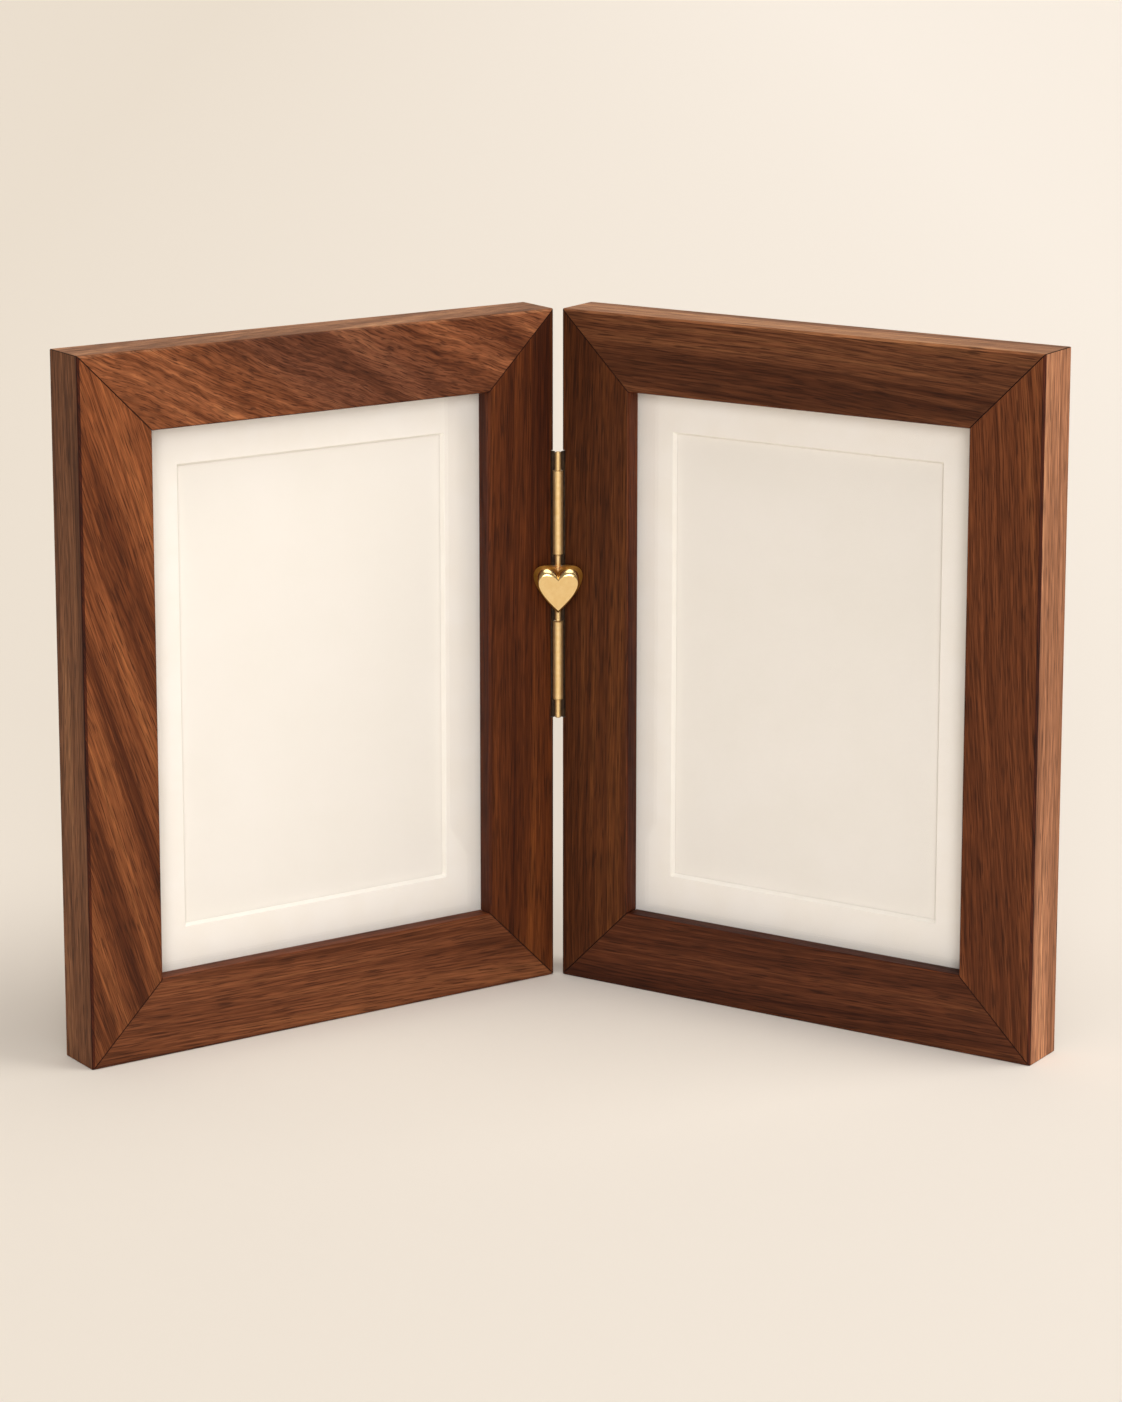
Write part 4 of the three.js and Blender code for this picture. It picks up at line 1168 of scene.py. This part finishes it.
def heart_body():
    """The heart about the hinge axis, at its own height."""
    bm = bmesh.new()
    rings = heart_rings()
    forward, width, height, _ = rings[0]
    points = [(point.x * width, -forward, heart_z + point.y * height) for point in heart_outline()]
    keel = bm.faces.new([bm.verts.new(point) for point in points])
    face = keel
    for last, (forward, width, height, drop) in zip(rings, rings[1:]):
        under = face
        face = grow(bm, under, (0, last[0] - forward, last[3] - drop))
        middle = Matrix.Translation((0, 0, drop - heart_z))
        bmesh.ops.scale(bm, vec=(width / last[1], 1, height / last[2]), space=middle, verts=face.verts)
        if under is not keel:
            bm.faces.remove(under)
    bmesh.ops.recalc_face_normals(bm, faces=bm.faces)
    return bm


neck = barrel(heart_low.z, heart_high.z, PIN_HEAD_R, NECK_CHAMFER)
bm = combine(heart_body(), [neck], "UNION")
bore = PIN_GRIP + RUN_PLAY
bores = [
    barrel(heart_low.z - OVERCUT, heart_low.z + bore, PIN_R + RUN_PLAY, 0),
    barrel(heart_high.z - bore, heart_high.z + OVERCUT, PIN_R + RUN_PLAY, 0),
]
bm = combine(bm, bores, "DIFFERENCE")
# Faces by the axis are satin, the flat front polished, the round edge buffed, and the sides and back get a darker,
# duller gold as painted shade
for face in bm.faces:
    middle = face.calc_center_median()
    if math.hypot(middle.x, middle.y) < PIN_HEAD_R + RUN_PLAY:
        finish = "satin"
    elif -face.normal.y >= FLAT_FACING:
        finish = "polished"
    else:
        finish = "buffed" if -middle.y > heart_rim + HEART_WALL else "painted_shade_gold"
    face.material_index = HEART_FINISHES.index(finish)
heart_seat = Matrix.Translation(hinge_foot)
finishes = [metal[finish] for finish in HEART_FINISHES]
make_piece(bm, "hinge_heart", heart_seat, "brass", *finishes, sharp=CRISP_ANGLE, flat_sided=False)
print("heart in mm:", round(HEART_W / MM, 2), "by", round(HEART_H / MM, 2))

# %% Pins
PIN_DOME = 0.3 * MM


def headed_pin(shank):
    """A pin up from z = -shank, with the underside of its round-ended head on z = 0."""
    profile = [(0, -shank), (PIN_R, -shank), (PIN_R, 0), (PIN_HEAD_R, 0)]
    profile += [(PIN_HEAD_R, PIN_HEAD_L - PIN_DOME), (PIN_HEAD_R - PIN_DOME, PIN_HEAD_L)]
    return turned(profile + [(0, PIN_HEAD_L)], ROUND_STEPS)


upside_down = Matrix.Rotation(math.pi, 4, "X")
upper_seat = Matrix.Translation((0, 0, upper_top + END_PLAY))
lower_seat = Matrix.Translation((0, 0, lower_foot - END_PLAY)) @ upside_down
pin_seats = {
    "upper_hinge_pin": (upper_top - upper_foot, upper_seat),
    "lower_hinge_pin": (lower_top - lower_foot, lower_seat),
}
for node, (knuckle_length, seat) in pin_seats.items():
    pin = headed_pin(knuckle_length + 2 * END_PLAY + PIN_GRIP)
    make_piece(pin, node, heart_seat @ seat, "brass", metal["satin"])
print("pins:", len(pin_seats))

# %% [markdown]
# ## Turn buttons, screws and V-nails
# Four flat turn buttons hold each backing board in. They are stamped from sheet, so their edges are
# slightly rounded, and each turns on a slotted pan-head screw. The V-nails are thin strips driven across
# the mitres from the back.

# %% Turn buttons and their screws
BUTTON_R = 4 * MM
BUTTON_TIP_R = 3 * MM
BUTTON_ARM = 12.5 * MM
BUTTON_EDGE = 0.22 * MM
BUTTON_EDGE_STEPS = 3
BUTTON_SHARP_FROM = 60
BUTTON_ARC_STEPS = 24
SCREW_HEAD_R = 2.5 * MM
SCREW_DOME_STEPS = 6
PAN_HEAD_STEPS = 36
button_low, button_high = own_box("turn_button_bottom")
out_of_back = Matrix.Rotation(-math.pi / 2, 4, "X")
# How far each screw's slot is turned, in degrees
SCREW_ANGLES = {"bottom": 15, "outer": 70, "top": 125, "hinge": 40}


def turn_button():
    """A flat button around its pivot, with its arm towards +Z, in a rail's own place."""
    reach = BUTTON_ARM - BUTTON_TIP_R
    lean = math.acos((BUTTON_R - BUTTON_TIP_R) / reach)
    outline = []
    for middle, radius, start, sweep in (
        (0, BUTTON_R, math.pi / 2 + lean, math.tau - 2 * lean),
        (reach, BUTTON_TIP_R, math.pi / 2 - lean, 2 * lean),
    ):
        for i in range(BUTTON_ARC_STEPS + 1):
            angle = start + sweep * i / BUTTON_ARC_STEPS
            outline.append((radius * math.cos(angle), middle + radius * math.sin(angle)))
    front, back = button_low.y - frame_low.y, button_high.y - frame_low.y
    bm = prism([(x, front, BUTTON_IN + z) for x, z in outline], (0, back - front, 0))
    soften(bm, sharp_edges(bm, BUTTON_SHARP_FROM), BUTTON_EDGE, BUTTON_EDGE_STEPS)
    hole = barrel(-BUTTON_ARM, BUTTON_ARM, SCREW_R + RUN_PLAY, 0)
    pivot = Matrix.Translation((0, back, BUTTON_IN)) @ out_of_back
    return combine(bm, [moved(hole, pivot)], "DIFFERENCE")


def pan_head_screw(angle):
    """A slotted screw with a domed head, down from the underside of its head on z = 0."""
    length = screw_high.y - screw_low.y - SCREW_HEAD_H
    profile = [(0, -length), (SCREW_R, 2 * SCREW_R - length), (SCREW_R, 0), (SCREW_HEAD_R, 0)]
    edge = SCREW_HEAD_H / 2
    for i in range(SCREW_DOME_STEPS + 1):
        turn = i / SCREW_DOME_STEPS * math.pi / 2
        profile.append((SCREW_HEAD_R * math.cos(turn), edge + (SCREW_HEAD_H - edge) * math.sin(turn)))
    bm = slotted(turned(profile, PAN_HEAD_STEPS), SCREW_HEAD_R, SCREW_HEAD_H, angle)
    soften(bm, sharp_edges(bm, SCREW_SHARP_FROM), SCREW_EDGE, 1)
    return bm


for side, place in PLACES.items():
    for where, turn, _, reach in RAILS.values():
        seat = place @ rail_seat(turn, reach)
        make_piece(turn_button(), f"{side}_turn_button_{where}", seat, "plated_button", metal["plated"])
        head_y = screw_high.y - SCREW_HEAD_H - frame_low.y
        screw_seat = seat @ Matrix.Translation((0, head_y, BUTTON_IN)) @ out_of_back
        screw = pan_head_screw(SCREW_ANGLES[where])
        make_piece(screw, f"{side}_button_screw_{where}", screw_seat, "steel", metal["zinc"])
print("turn buttons:", len(PLACES) * len(RAILS))

# %% V-nails
NAIL_EDGE = 0.08 * MM

for side, place in PLACES.items():
    for name, corner in CORNERS.items():
        bm = nail_strip(0, nail_low.y, nail_high.y)
        soften(bm, sharp_edges(bm), NAIL_EDGE, 1)
        make_piece(bm, f"{side}_v_nail_{name}", place @ corner_seat(*corner), "steel", metal["zinc"])
print("V-nails:", len(PLACES) * len(CORNERS))
